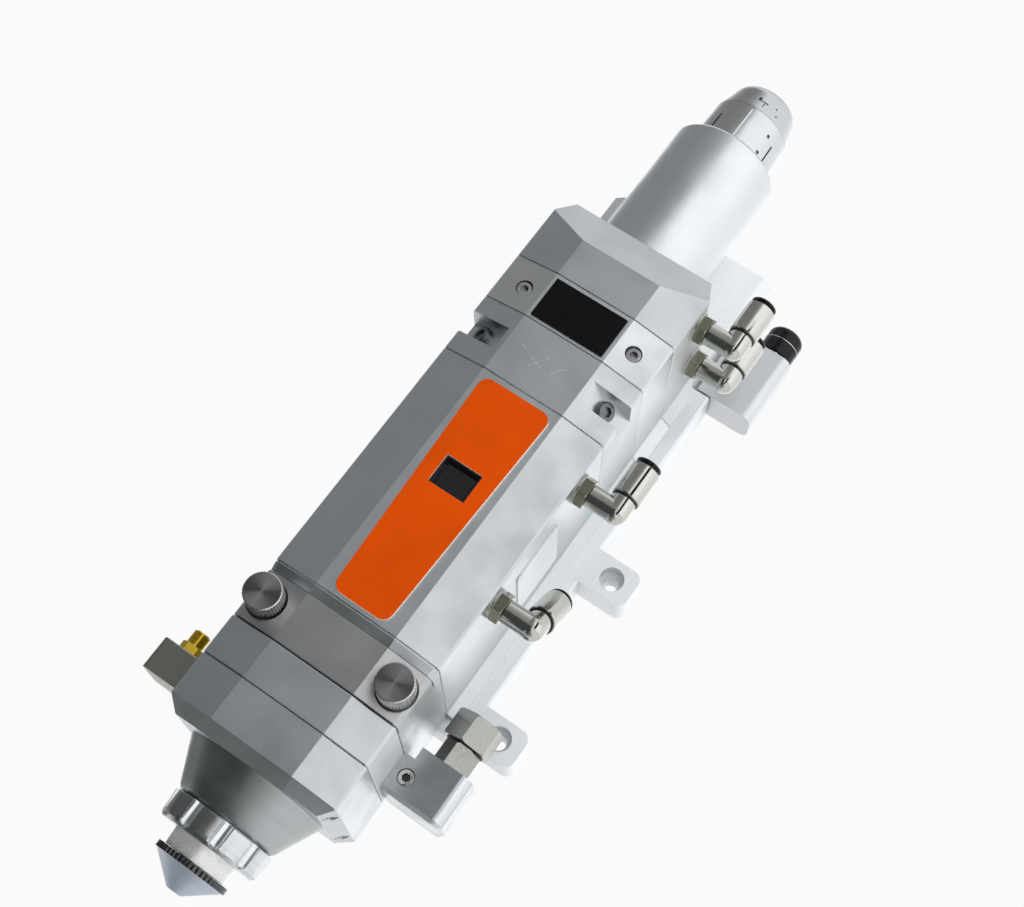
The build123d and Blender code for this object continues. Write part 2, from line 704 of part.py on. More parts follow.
def make_orange_plate():
    """Tapered orange plate with rounded corners and an opening round the sight window."""
    top = MAIN_TOP_Z - PLATE_TOP_GAP
    low = top - PLATE_H
    corners = [
        (-PLATE_TOP_W / 2, top), (PLATE_TOP_W / 2, top), (PLATE_LOW_W / 2, low), (-PLATE_LOW_W / 2, low),
    ]
    sheet = make_face(Polyline(*[(x, FRONT_Y, z) for x, z in corners], close=True))
    plate = extrude(sheet, amount=PLATE_T, dir=(0, -1, 0))
    plate = fillet(plate.edges().filter_by(Axis.Y), PLATE_CORNER)
    opening = Box(SIGHT_W + 2 * SEAT, 3 * PLATE_T, SIGHT_H + 2 * SEAT)
    return plate - Pos(0, FRONT_Y - PLATE_T / 2, SIGHT_Z) * opening


def make_sight_bezel():
    """Frame of the sight window, with a funnel-shaped opening."""
    front = FRONT_Y - BEZEL_PROUD
    back = FRONT_Y + BEZEL_T
    frame = box_between(
        -SIGHT_W / 2, SIGHT_W / 2, front, back, SIGHT_Z - SIGHT_H / 2, SIGHT_Z + SIGHT_H / 2
    )
    mouth = Rectangle(SIGHT_W - 2 * BEZEL_RIM, SIGHT_H - 2 * BEZEL_RIM)
    wide = Pos(0, front - 0.01, SIGHT_Z) * Rot(90, 0, 0) * mouth
    narrow = Pos(0, back + 0.01, SIGHT_Z) * Rot(90, 0, 0) * Rectangle(SIGHT_HOLE_W, SIGHT_HOLE_H)
    return frame - loft([wide, narrow])


def make_sight_window():
    """Glass pane behind the bezel."""
    y0 = FRONT_Y + BEZEL_T
    return box_between(
        -SIGHT_W / 2 + SEAT, SIGHT_W / 2 - SEAT, y0, y0 + GLASS_T,
        SIGHT_Z - SIGHT_H / 2 + SEAT, SIGHT_Z + SIGHT_H / 2 - SEAT,
    )


def make_side_plate():
    """Plain plate on the right side of the main body."""
    y0 = FRONT_Y + SIDE_PLATE_DEPTH
    plate = box_between(
        HALF_W, HALF_W + SIDE_PLATE_T, y0 - SIDE_PLATE_L / 2, y0 + SIDE_PLATE_L / 2,
        SIDE_PLATE_Z - SIDE_PLATE_H / 2, SIDE_PLATE_Z + SIDE_PLATE_H / 2,
    )
    return fillet(plate.edges().filter_by(Axis.X), 1.5)


def pocket_frame(side):
    """Where a corner pocket's slanted wall lies: its middle, and its outward direction."""
    x_in = HALF_W - POCKET_IN
    middle = Vector((x_in + HALF_W) / 2, FRONT_Y + POCKET_BACK / 2, 0)
    outward = Vector(POCKET_BACK, -POCKET_IN, 0).normalized()
    return Vector(side * middle.X, middle.Y, 0), Vector(side * outward.X, outward.Y, 0)


def make_upper_body():
    """Upper block, with a slanted screw pocket in each front corner."""
    block = body_block(MAIN_TOP_Z, UPPER_TOP_Z, BACK_DEPTH, FLARE)
    z0 = MAIN_TOP_Z + POCKET_LOW
    beyond_x = HALF_W + POCKET_IN
    for side in (-1, 1):
        corner = [
            (side * (HALF_W - POCKET_IN), FRONT_Y), (side * HALF_W, FRONT_Y + POCKET_BACK),
            (side * beyond_x, FRONT_Y + POCKET_BACK), (side * beyond_x, FRONT_Y - POCKET_IN),
            (side * (HALF_W - POCKET_IN), FRONT_Y - POCKET_IN),
        ]
        block -= extrude(Pos(0, 0, z0) * make_face(Polyline(*corner, close=True)), amount=POCKET_H)
    floor_z = MAIN_TOP_Z + COLLIMATOR_FLOOR
    block -= at_axis(tube_between(COLLIMATOR_R + SEAT, floor_z, UPPER_TOP_Z + 1))
    block -= at_axis(tube_between(BEAM_R, MAIN_TOP_Z - 1, floor_z))
    block -= [place * tube_between(M5_R + SCREW_FIT, -POCKET_SCREW_L - SLIDE, 1) for place in pocket_places()]
    return block - plate_screw_taps(MAIN_TOP_Z, UPPER_TOP_Z)


def pocket_places():
    """Axes of the two pocket screws: +Z of each place points out of the slanted wall."""
    places = []
    for side in (-1, 1):
        middle, outward = pocket_frame(side)
        origin = (middle.X, middle.Y, MAIN_TOP_Z + POCKET_LOW + POCKET_SCREW_UP)
        places.append(Location(Plane(origin, x_dir=(0, 0, 1), z_dir=tuple(outward))))
    return places


def make_pocket_screws():
    """Socket screws in the corner pockets, with their heads on the slanted walls."""
    screw = Pos(0, 0, POCKET_HEAD_H) * socket_screw(M5_HEAD_R, POCKET_HEAD_H, M5_R, POCKET_SCREW_L)
    return [place * screw for place in pocket_places()]


def make_clamp_band():
    """Band between the upper body and the cap, with two counterbored screws."""
    block = body_block(UPPER_TOP_Z, BAND_TOP_Z, BACK_DEPTH, FLARE)
    block -= at_axis(tube_between(TUBE_BORE_R, UPPER_TOP_Z - 1, BAND_TOP_Z + 1))
    hole = screw_hole(M4_HEAD_R, M4_HEAD_H, M4_R, M4_L)
    return block - [place * hole for place in band_screw_places()]


def band_screw_places():
    """Axes of the band screws, with the heads' tops just below the facets."""
    z = (UPPER_TOP_Z + BAND_TOP_Z) / 2 - BAND_SCREW_DROP
    return front_screws(BAND_SCREW_X, front_y_at(BAND_SCREW_X + M4_HEAD_R) + BAND_SCREW_SINK, z)


def make_band_screws():
    """The two socket screws of the band."""
    screw = socket_screw(M4_HEAD_R, M4_HEAD_H, M4_R, M4_L)
    return [place * screw for place in band_screw_places()]


def make_black_plate():
    """Plain black plate on the band's centre facet."""
    low = (UPPER_TOP_Z + BAND_TOP_Z - BLACK_H) / 2 - BLACK_DROP
    return box_between(-BLACK_W / 2, BLACK_W / 2, FRONT_Y - BLACK_T, FRONT_Y, low, low + BLACK_H)


def make_cap():
    """Hipped cap: the front and both sides slope in towards the flat top."""
    block = body_block(BAND_TOP_Z, CAP_TOP_Z, BACK_DEPTH, FLARE)
    slope_z = BAND_TOP_Z + CAP_FRONT_H
    far = MOUNT_DEPTH + BODY_W
    front = [
        (FRONT_Y, BAND_TOP_Z), (FRONT_Y, slope_z), (FRONT_Y + CAP_SLOPE_Y, CAP_TOP_Z),
        (BACK_Y, CAP_TOP_Z), (BACK_Y, BAND_TOP_Z),
    ]
    front_face = make_face(Polyline(*[(0, y, z) for y, z in front], close=True))
    front_keep = extrude(front_face, amount=far, both=True)
    steep = CAP_SIDE_IN / CAP_SIDE_H
    low_x = HALF_W - CAP_SIDE_IN + steep * (CAP_TOP_Z - BAND_TOP_Z)
    side = [
        (HALF_W - CAP_SIDE_IN, CAP_TOP_Z), (low_x, BAND_TOP_Z),
        (-low_x, BAND_TOP_Z), (-HALF_W + CAP_SIDE_IN, CAP_TOP_Z),
    ]
    side_face = make_face(Polyline(*[(x, 0, z) for x, z in side], close=True))
    side_keep = extrude(side_face, amount=far, both=True)
    block = block & front_keep & side_keep
    block -= at_axis(tube_between(TUBE_SPIGOT_R + SEAT, CAP_TOP_Z - TUBE_SPIGOT_H, CAP_TOP_Z + 1))
    block -= at_axis(tube_between(TUBE_BORE_R, BAND_TOP_Z - 1, CAP_TOP_Z))
    return block - fitting_taps(BAND_TOP_Z, CAP_TOP_Z)


def make_fibre_tube():
    """Fibre tube: a wide barrel on the cap, with a chamfered top and a locating spigot."""
    top = TUBE_TOP_Z
    low = CAP_TOP_Z - TUBE_SPIGOT_H
    tube = revolved([
        (TUBE_BORE_R, low), (TUBE_SPIGOT_R, low), (TUBE_SPIGOT_R, CAP_TOP_Z), (TUBE_R, CAP_TOP_Z),
        (TUBE_R, top - TUBE_EDGE), (TUBE_R - TUBE_EDGE * 0.5, top - TUBE_EDGE * 0.3),
        (TUBE_R - TUBE_EDGE, top), (TUBE_BORE_R, top),
    ])
    return at_axis(tube)


def make_collar_base():
    """Fixed collar of the fibre socket, with the neck that the locking ring turns on."""
    low = TUBE_TOP_Z - COLLAR_SPIGOT_H
    spigot = TUBE_BORE_R - SEAT
    neck_top = COLLAR_TOP_Z + COLLAR_NECK_H
    collar = revolved([
        (FIBRE_BORE_R, low), (spigot, low), (spigot, TUBE_TOP_Z), (COLLAR_FOOT_R, TUBE_TOP_Z),
        (COLLAR_FOOT_R, TUBE_TOP_Z + COLLAR_FOOT_H), (COLLAR_R, TUBE_TOP_Z + COLLAR_FOOT_H),
        (COLLAR_TOP_R, COLLAR_TOP_Z),
        (COLLAR_NECK_R, COLLAR_TOP_Z), (COLLAR_NECK_R, neck_top), (FIBRE_BORE_R, neck_top),
    ])
    drill = facing_front(Cylinder(SET_HOLE_R, SET_HOLE_D * 2), 0, -COLLAR_TOP_R, 0)
    holes = [Pos(0, 0, TUBE_TOP_Z + height) * drill for height in SET_HOLE_HEIGHTS]
    slot_z = TUBE_TOP_Z + COLLAR_FOOT_H + SPANNER_H / 2
    slot = Pos(0, -COLLAR_R, slot_z) * Box(SPANNER_W, 2 * SET_HOLE_D, SPANNER_H)
    collar -= [Rot(0, 0, SET_HOLE_TURN) * hole for hole in holes]
    for step in range(4):
        collar -= Rot(0, 0, SPANNER_TURN + 90 * step) * slot
    return at_axis(collar)


def make_collar_ring():
    """Locking ring of the fibre socket: a cone with a rounded shoulder and a groove."""
    low = COLLAR_TOP_Z + SLIDE
    top = low + RING_H
    outline = [
        (COLLAR_NECK_R + SLIDE, low), (RING_R, low),
        (RING_TOP_R + RING_ROUND * 0.45, top - RING_ROUND * 1.6),
        (RING_TOP_R, top - RING_ROUND * 0.6), (RING_TOP_R - RING_ROUND * 0.6, top),
        (COLLAR_NECK_R + SLIDE, top),
    ]
    return at_axis(revolved(outline))


def plate_screw_places():
    """Axes of the screws that hold the rear plate, with +Z pointing out of the rear face."""
    places = []
    for z in (-PLATE_SCREW_LOW, PLATE_SCREW_HIGH):
        for side in (-1, 1):
            places.append(Pos(side * PLATE_SCREW_X, 0, z) * Rot(-90, 0, 0))
    return places


def plate_screw_taps(z_low, z_high):
    """Holes for the rear plate's screws that fall between two heights of the body."""
    hole = tube_between(M5_R + SCREW_FIT, -plate_screw_reach() - SLIDE, 0)
    return [place * hole for place in plate_screw_places() if z_low < place.position.Z < z_high]


def plate_screw_reach():
    """Depth of the rear plate's screws below the rear face."""
    return MOUNT_DEPTH - BACK_DEPTH + PLATE_SCREW_GRIP


def make_mounting_plate():
    """Rear plate with two counterbored lugs on the right and four tapped holes."""
    plate = box_between(
        -REAR_PLATE_W / 2, REAR_PLATE_W / 2, BACK_Y, 0, -REAR_PLATE_LOW, REAR_PLATE_TOP
    )
    plate = chamfer(plate.edges().filter_by(Axis.Z), EDGE)
    for side in (-1, 1):
        z = side * LUG_SPACING / 2
        lug = box_between(REAR_PLATE_W / 2 - 5, LUG_REACH, BACK_Y, 0, z - LUG_H / 2, z + LUG_H / 2)
        lug = fillet(lug.edges().filter_by(Axis.Y).group_by(Axis.X)[-1], LUG_CORNER)
        plate += lug
    for side in (-1, 1):
        z = side * LUG_SPACING / 2
        through = Cylinder(LUG_HOLE_R, 4 * (MOUNT_DEPTH - BACK_DEPTH))
        sink = Pos(0, 0, LUG_SINK_D / 2) * Cylinder(LUG_SINK_R, LUG_SINK_D)
        plate -= facing_front(through, LUG_HOLE_X, BACK_Y, z)
        plate -= facing_front(Pos(0, 0, -LUG_SINK_D) * sink, LUG_HOLE_X, BACK_Y, z)
    for x in (-TAP_SPACING_X / 2, TAP_SPACING_X / 2):
        for z in (-TAP_SPACING_Z / 2, TAP_SPACING_Z / 2):
            plate -= facing_front(Pos(0, 0, TAP_DEPTH / 2) * Cylinder(TAP_R, TAP_DEPTH), x, 0, z)
    hole = screw_hole(M5_HEAD_R, M5_HEAD_H + PLATE_SCREW_SINK, M5_R, MOUNT_DEPTH)
    return plate - [place * hole for place in plate_screw_places()]


def make_plate_screws():
    """The four socket screws of the rear plate."""
    length = plate_screw_reach() - M5_HEAD_H - PLATE_SCREW_SINK
    screw = Pos(0, 0, -PLATE_SCREW_SINK) * socket_screw(M5_HEAD_R, M5_HEAD_H, M5_R, length)
    return [place * screw for place in plate_screw_places()]


def make_rear_housing():
    """Rear housing behind the fibre tube, with rounded front corners."""
    half = HALF_W + FLARE
    block = box_between(-half, half, BACK_Y, 0, REAR_PLATE_TOP, HOUSING_TOP_Z)
    front = [e for e in block.edges().filter_by(Axis.Z) if e.center().Y < BACK_Y + 1]
    block = chamfer(front, FLARE)
    return chamfer(block.faces().sort_by(Axis.Z)[-1].edges(), 0.6)


def make_connector_box():
    """Connector box on the right of the rear housing, with a rounded outer corner."""
    low = REAR_PLATE_TOP + BOX_GAP
    box = box_between(HALF_W + FLARE, BOX_REACH, BACK_Y, 0, low, low + BOX_H)
    corner = [e for e in box.edges().filter_by(Axis.Z) if e.center().X > BOX_REACH - 1]
    box = fillet(corner, BOX_ROUND)
    return chamfer(box.faces().sort_by(Axis.Z)[-1].edges(), 0.5)


def make_box_socket():
    """Round threaded socket on top of the connector box."""
    low = REAR_PLATE_TOP + BOX_GAP + BOX_H
    seat = low + SOCKET_FLANGE_T
    flange = tube_between(SOCKET_R + SOCKET_FLANGE_T, low, seat)
    barrel = tube_between(SOCKET_R, seat, low + SOCKET_H, SOCKET_R - SOCKET_WALL)
    core = tube_between(SOCKET_R - 1.5 * SOCKET_WALL, seat, low + SOCKET_H - SOCKET_WALL)
    return Pos(SOCKET_X, BACK_Y / 2, 0) * (flange + barrel + core)


def make_dust_cap():
    """Black screw cap over the socket, with a rounded crown and grip flats."""
    low = REAR_PLATE_TOP + BOX_GAP + BOX_H + SOCKET_FLANGE_T + SLIDE
    cap = tube_between(DUST_CAP_R, low, low + DUST_CAP_H)
    cap = fillet(cap.edges().sort_by(Axis.Z)[-1], DUST_CAP_ROUND)
    cap -= tube_between(SOCKET_R + SLIDE, low - 1, low + SOCKET_H - SOCKET_FLANGE_T)
    ring_z = low + DUST_RING_Z
    cap -= tube_between(DUST_CAP_R + 1, ring_z, ring_z + DUST_RING_W, DUST_CAP_R - DUST_RING_D)
    return Pos(SOCKET_X, BACK_Y / 2, 0) * cap


def fitting_taps(z_low, z_high):
    """Holes for the fittings' threads that fall between two heights of the right side."""
    hole = along_x(tube_between(THREAD_R + SCREW_FIT, -THREAD_L - SLIDE, 1))
    return [
        fitting_frame(depth, height) * hole for depth, height, _ in FITTINGS if z_low < height < z_high
    ]


def fitting_frame(depth, height, turn=0.0):
    """Place of a fitting: local X points out of the body, local Z along the sleeve."""
    return Pos(HALF_W, FRONT_Y + depth, height) * Rot(turn, 0, 0)


def along_x(shape):
    """A shape made about Z, laid down so that its +Z end points along +X."""
    return Rot(0, 90, 0) * shape


def make_fitting_bases():
    """The four hexagon bases, each with a washer, a thread and the stem that its elbow turns on."""
    base = hexagon_bar(HEX_AF, HEX_T, 0)
    washer = Pos(0, 0, WASHER_T / 2) * Cylinder(WASHER_R, WASHER_T)
    stem_top = WASHER_T + HEX_T + STEM_L
    piece = washer + Pos(0, 0, WASHER_T) * base
    piece += tube_between(STEM_R, WASHER_T + HEX_T, stem_top) + tube_between(THREAD_R, -THREAD_L, 0)
    piece -= tube_between(STEM_BORE_R, -THREAD_L - 1, stem_top + 1)
    piece = along_x(piece)
    return [fitting_frame(depth, height) * piece for depth, height, _ in FITTINGS]


def elbow_shape():
    """One swivel elbow: barrel along X, rounded corner, and a sleeve along Z."""
    start = WASHER_T + HEX_T + SLIDE
    barrel = along_x(tube_between(BARREL_R, start, ELBOW_X))
    corner = Pos(ELBOW_X, 0, 0) * Sphere(NECK_R)
    sleeve_low = NECK_H + GROOVE_H
    sleeve_top = sleeve_low + SLEEVE_H
    upright = tube_between(NECK_R, 0, NECK_H) + tube_between(GROOVE_R, NECK_H, sleeve_low)
    sleeve = tube_between(SLEEVE_R, sleeve_low, sleeve_top)
    sleeve = chamfer(sleeve.edges().filter_by(GeomType.CIRCLE), SMALL_BREAK)
    shape = barrel + corner + Pos(ELBOW_X, 0, 0) * (upright + sleeve)
    stem_room = WASHER_T + HEX_T + STEM_L + SLIDE
    shape -= along_x(tube_between(STEM_R + RUNNING, start - 1, stem_room))
    shape -= along_x(tube_between(STEM_BORE_R, start, ELBOW_X))
    pocket_low = sleeve_top + SLIDE - COLLET_L - SLIDE
    bores = tube_between(STEM_BORE_R, 0, pocket_low) + tube_between(TUBE_PORT_R, TUBE_STOP_H, pocket_low)
    bores += tube_between(COLLET_R + RUNNING, pocket_low - SLIDE, sleeve_top + 1)
    return shape - Pos(ELBOW_X, 0, 0) * bores


def collet_shape():
    """Release collet in the sleeve's mouth: a thin ring with a flange to press on."""
    sleeve_top = NECK_H + GROOVE_H + SLEEVE_H
    flange_low = sleeve_top + COLLET_TRAVEL + SLIDE
    ring = tube_between(COLLET_R, flange_low - COLLET_L, flange_low)
    flange = tube_between(COLLET_FLANGE_R, flange_low, flange_low + COLLET_FLANGE_T)
    flange = chamfer(flange.edges().filter_by(GeomType.CIRCLE), SMALL_BREAK)
    bore = tube_between(TUBE_PORT_R, flange_low - COLLET_L - 1, flange_low + COLLET_FLANGE_T + 1)
    return Pos(ELBOW_X, 0, 0) * (ring + flange - bore)


def make_gas_block():
    """Gas inlet block on the right, with a rounded corner, a notch and a screw step."""
    y0 = FRONT_Y + GAS_BLOCK_FRONT
    top = GAS_BLOCK_Z + GAS_BLOCK_H
    block = box_between(HALF_W, GAS_BLOCK_REACH, y0, y0 + GAS_BLOCK_D, GAS_BLOCK_Z, top)
    corner = [e for e in block.edges().filter_by(Axis.Z) if e.center().X > GAS_BLOCK_REACH - 1]
    block = fillet(corner, GAS_ROUND)
    block = chamfer(block.faces().sort_by(Axis.Z)[0].edges(), GAS_EDGE)
    step_x = HALF_W + GAS_STEP_W
    block -= box_between(HALF_W, step_x, y0 - 1, y0 + GAS_BLOCK_D + 1, top - GAS_STEP_H, top + 1)
    channel = tube_between(GAS_CHANNEL_R, GAS_BLOCK_Z + GAS_CHANNEL_Z, top + 1)
    block -= Pos(GAS_X, FRONT_Y + GAS_DEPTH, 0) * channel
    block -= gas_screw_place() * screw_hole(M4_HEAD_R, M4_HEAD_H, M4_R, GAS_SCREW_L)
    return block


def gas_screw_place():
    """Axis of the screw in the gas block's front face."""
    seat_y = FRONT_Y + GAS_BLOCK_FRONT + SLIDE
    return Pos(HALF_W + GAS_SCREW_X, seat_y, GAS_BLOCK_Z + GAS_SCREW_Z) * Rot(90, 0, 0)


def make_gas_screw():
    """Socket screw in the gas block."""
    return gas_screw_place() * socket_screw(M4_HEAD_R, M4_HEAD_H, M4_R, GAS_SCREW_L)


def make_gas_adaptor():
    """Hexagon adaptor in the gas block, with the neck that the nut screws onto."""
    base = hexagon_bar(ADAPTOR_AF, ADAPTOR_H, ADAPTOR_TURN)
    neck = tube_between(ADAPTOR_NECK_R, ADAPTOR_H, ADAPTOR_H + ADAPTOR_NECK_H)
    piece = base + neck - tube_between(GAS_TUBE_R, 2, ADAPTOR_H + ADAPTOR_NECK_H + 1)
    piece -= tube_between(GAS_CHANNEL_R, -1, 3)
    return Pos(GAS_X, FRONT_Y + GAS_DEPTH, GAS_BLOCK_Z + GAS_BLOCK_H) * piece


def make_gas_nut():
    """Hexagon union nut over the adaptor's neck, with a hole for the gas tube."""
    nut = hexagon_bar(GAS_NUT_AF, GAS_NUT_H, NUT_TURN)
    nut -= tube_between(ADAPTOR_NECK_R + SLIDE, -1, GAS_NUT_H - NUT_ROOF)
    nut -= tube_between(GAS_TUBE_R + SEAT, 0, GAS_NUT_H + 1)
    low = GAS_BLOCK_Z + GAS_BLOCK_H + ADAPTOR_H + SLIDE
    return Pos(GAS_X, FRONT_Y + GAS_DEPTH, low) * nut


def make_focus_carriage():
    """Focus lens cell with two rod bosses and the lead screw's nut."""
    low = CELL_Z - CELL_H / 2
    high = CELL_Z + CELL_H / 2
    cell = at_axis(tube_between(CELL_R, low, high))
    boss = tube_between(ROD_BOSS_R, low, high)
    arm_y = FRONT_Y + ROD_DEPTH
    for side in (-1, 1):
        cell += Pos(side * ROD_X, arm_y, 0) * boss
    nut_y = FRONT_Y + SCREW_DEPTH
    lug_low = CELL_Z - SCREW_LUG_H / 2
    cell += box_between(
        -SCREW_LUG_W / 2, SCREW_LUG_W / 2, AXIS_Y, nut_y + SCREW_LUG_WALL, lug_low, lug_low + SCREW_LUG_H
    )
    cell += box_between(-ROD_X, ROD_X, AXIS_Y + CELL_R / 2, arm_y, CELL_Z - ARM_H / 2, CELL_Z + ARM_H / 2)
    cell -= at_axis(tube_between(LENS_R + SEAT, CELL_Z - LENS_T / 2, high + 1))
    cell -= at_axis(tube_between(LENS_R - LENS_LEDGE, low - 1, high))
    for side in (-1, 1):
        cell -= Pos(side * ROD_X, arm_y, 0) * tube_between(ROD_R + RUNNING, low - 1, high + 1)
    return cell - Pos(0, nut_y, 0) * tube_between(SCREW_R + RUNNING, low, high)


def lens(z_low):
    """A plano-convex lens, flat below, about the Z axis."""
    top = z_low + LENS_T
    ball_r = (LENS_R * LENS_R + LENS_BULGE * LENS_BULGE) / (2 * LENS_BULGE)
    disc = tube_between(LENS_R, z_low, top)
    return disc & Pos(0, 0, top - ball_r) * Sphere(ball_r)


def make_guide_rods():
    """The two guide rods of the focus unit."""
    rod = tube_between(ROD_R, MAIN_BOTTOM_Z, MAIN_TOP_Z)
    return [Pos(side * ROD_X, FRONT_Y + ROD_DEPTH, 0) * rod for side in (-1, 1)]


def motor_low_z():
    """Underside of the focus motor, which hangs from the upper body."""
    return MAIN_TOP_Z - MOTOR_H


def make_lead_screw():
    """Lead screw of the focus unit, from its bearing up into the motor."""
    screw = tube_between(SCREW_R, MAIN_BOTTOM_Z - SCREW_PIVOT + SLIDE, motor_low_z() + MOTOR_SOCKET)
    return Pos(0, FRONT_Y + SCREW_DEPTH, 0) * screw


def make_focus_motor():
    """Round focus motor above the lead screw."""
    motor = tube_between(MOTOR_R, motor_low_z(), MAIN_TOP_Z)
    motor = chamfer(motor.edges().filter_by(GeomType.CIRCLE).sort_by(Axis.Z)[0], 0.6)
    motor -= tube_between(SCREW_R + RUNNING, motor_low_z() - 1, motor_low_z() + MOTOR_SOCKET + SLIDE)
    return Pos(0, FRONT_Y + SCREW_DEPTH, 0) * motor


def collimator_seat_z():
    """Height of the ledge that the collimator lens rests on."""
    return MAIN_TOP_Z + COLLIMATOR_FLOOR + LENS_DEPTH


def make_collimator_cell():
    """Collimator lens cell, seated in the upper body."""
    low = MAIN_TOP_Z + COLLIMATOR_FLOOR
    cell = tube_between(COLLIMATOR_R, low, UPPER_TOP_Z, LENS_R - LENS_LEDGE)
    return at_axis(cell - tube_between(LENS_R + SEAT, collimator_seat_z(), UPPER_TOP_Z + 1))


def build_all():
    """Builds and writes every piece."""
    os.makedirs("parts", exist_ok=True)
    save(make_nozzle(), "nozzle")
    save(make_ceramic_ring(), "ceramic_ring")
    save(make_lock_nut(), "lock_nut")
    save(make_sensor_cone(), "sensor_cone")
    save(make_nozzle_block(), "nozzle_block")
    save([place * block_screw() for place in block_screw_places()], "block_screws")
    save(make_sensor_block(), "sensor_block")
    save(make_sensor_box(), "sensor_box")
    save(make_brass_connector(), "brass_connector")
    save(make_lower_housing(), "lower_housing")
    save(make_drawer_front(), "drawer_front")
    save(make_drawer_tray(), "drawer_tray")
    save(make_window(), "protective_window")
    save(make_window_seal(), "window_seal")
    for screw, name in zip(make_thumbscrews(), ("thumbscrew_left", "thumbscrew_right")):
        save(screw, name)
    save(make_main_body(), "main_body")
    save(make_orange_plate(), "orange_plate")
    save(make_sight_bezel(), "sight_bezel")
    save(make_sight_window(), "sight_window")
    save(make_side_plate(), "side_plate")
    save(make_upper_body(), "upper_body")
    save(make_pocket_screws(), "pocket_screws")
    save(make_clamp_band(), "clamp_band")
    save(make_band_screws(), "band_screws")
    save(make_black_plate(), "black_plate")
    save(make_cap(), "cap")
    save(make_fibre_tube(), "fibre_tube")
    save(make_collar_base(), "collar_base")
    save(make_collar_ring(), "collar_ring")
    save(make_mounting_plate(), "mounting_plate")
    save(make_plate_screws(), "plate_screws")
    save(make_rear_housing(), "rear_housing")
    save(make_connector_box(), "connector_box")
    save(make_box_socket(), "box_socket")
    save(make_dust_cap(), "dust_cap")
    save(make_fitting_bases(), "fitting_bases")
    for number, (depth, height, turn) in enumerate(FITTINGS, 1):
        save(fitting_frame(depth, height, turn) * elbow_shape(), f"elbow_{number}")
        save(fitting_frame(depth, height, turn) * collet_shape(), f"collet_{number}")
    save(make_gas_block(), "gas_block")
    save(make_gas_screw(), "gas_screw")
    save(make_gas_adaptor(), "gas_adaptor")
    save(make_gas_nut(), "gas_nut")
    save(make_focus_carriage(), "focus_carriage")
    save(at_axis(lens(CELL_Z - LENS_T / 2)), "focus_lens")
    save(make_guide_rods(), "guide_rods")
    save(make_lead_screw(), "lead_screw")
    save(make_focus_motor(), "focus_motor")
    save(make_collimator_cell(), "collimator_cell")
    save(at_axis(lens(collimator_seat_z())), "collimator_lens")


build_all()
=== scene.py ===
import math

import bpy
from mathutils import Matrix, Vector


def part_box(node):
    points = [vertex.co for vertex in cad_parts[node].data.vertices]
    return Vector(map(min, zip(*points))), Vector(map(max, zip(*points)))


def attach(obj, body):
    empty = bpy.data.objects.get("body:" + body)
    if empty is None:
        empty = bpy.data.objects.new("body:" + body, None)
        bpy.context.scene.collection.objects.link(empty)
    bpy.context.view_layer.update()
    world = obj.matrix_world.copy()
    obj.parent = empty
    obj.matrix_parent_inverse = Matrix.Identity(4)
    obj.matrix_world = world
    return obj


bl_info = {
    "name": "Laser cutting head",
    "version": (1, 0, 0),
    "blender": (4, 5, 0),
    "location": "View3D > Sidebar > Cutting head",
    "description": "Finishes and fine pieces for a laser cutting head, and a studio for it",
    "category": "Object",
}

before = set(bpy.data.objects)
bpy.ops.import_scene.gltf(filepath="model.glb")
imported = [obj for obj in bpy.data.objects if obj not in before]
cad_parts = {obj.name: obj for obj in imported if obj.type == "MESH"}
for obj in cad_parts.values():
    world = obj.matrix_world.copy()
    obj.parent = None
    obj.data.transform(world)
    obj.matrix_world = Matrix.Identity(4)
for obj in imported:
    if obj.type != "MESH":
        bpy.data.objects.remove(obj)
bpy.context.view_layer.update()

MM = 0.001
UPRIGHT = (0, 0, 0)

# Places and sizes on the head, in metres and degrees

BEAM = Vector((0.0, -0.058, 0.0))
FACET_ANGLE = 8.0
THUMB_SHADOW_RING = (0.031, -0.0931, -0.06265)
POCKET_SCREW = (0.02706, -0.09264, 0.1046)
POCKET_TILT = 11.5
POCKET_SHADOW_RING_LIFT = 0.00012
GAS_SCREW_SHADED_SOCKET = 0.0019
KNURL_RADIUS = 0.0151
COLLAR_TOP = 0.2602
WASHER_REACH = 0.0403
ELBOW_REACH = 0.057
FITTINGS = ((-0.082, 0.136), (-0.050, 0.136), (-0.082, 0.0475), (-0.082, -0.011))
DUST_CAP_GROOVE = (0.0625, -0.0095, 0.1849)
BRASS_SOCKET = (-0.054, -0.0585, 0.0)
GAS_INLET = (0.0555, -0.038, 0.0)

# The collar's walls in millimetres: radius at the foot, height of the foot, taper, and lean in degrees

COLLAR_WALLS = {"head": (19.62, 226.3, 0.0418, -2.4), "collar_ring": (18.6, 246.8, 0.234, -13.2)}

# Marks on the collar: angle in degrees, height, how tall and how wide in millimetres, body and finish

MARKS = (
    (0.0, 236.2, 17.5, 0.55, "head", "mark"),
    (5.0, 252.4, 0.5, 5.0, "collar_ring", "dark mark"),
    (-1.5, 253.5, 1.3, 1.3, "collar_ring", "dark mark"),
    (8.0, 250.6, 2.6, 0.45, "collar_ring", "dark mark"),
    (28.0, 253.5, 0.8, 0.8, "collar_ring", "dark mark"),
    (33.0, 250.0, 0.8, 0.8, "collar_ring", "dark mark"),
)

# Finishes of the blocks, and of the sides that face right, which get lighter finishes as painted light

BLOCKS = {
    "main_body": "body",
    "upper_body": "scratched",
    "clamp_band": "band",
    "cap": "body",
    "lower_housing": "body",
    "drawer_front": "drawer",
    "sensor_block": "body",
    "nozzle_block": "body",
}
LIT_RIGHT_SIDES = {
    "main_body": "side",
    "cap": "cover",
    "lower_housing": "side",
    "drawer_front": "side",
    "sensor_block": "cover",
}

# Where the scratches on the upper body start and end

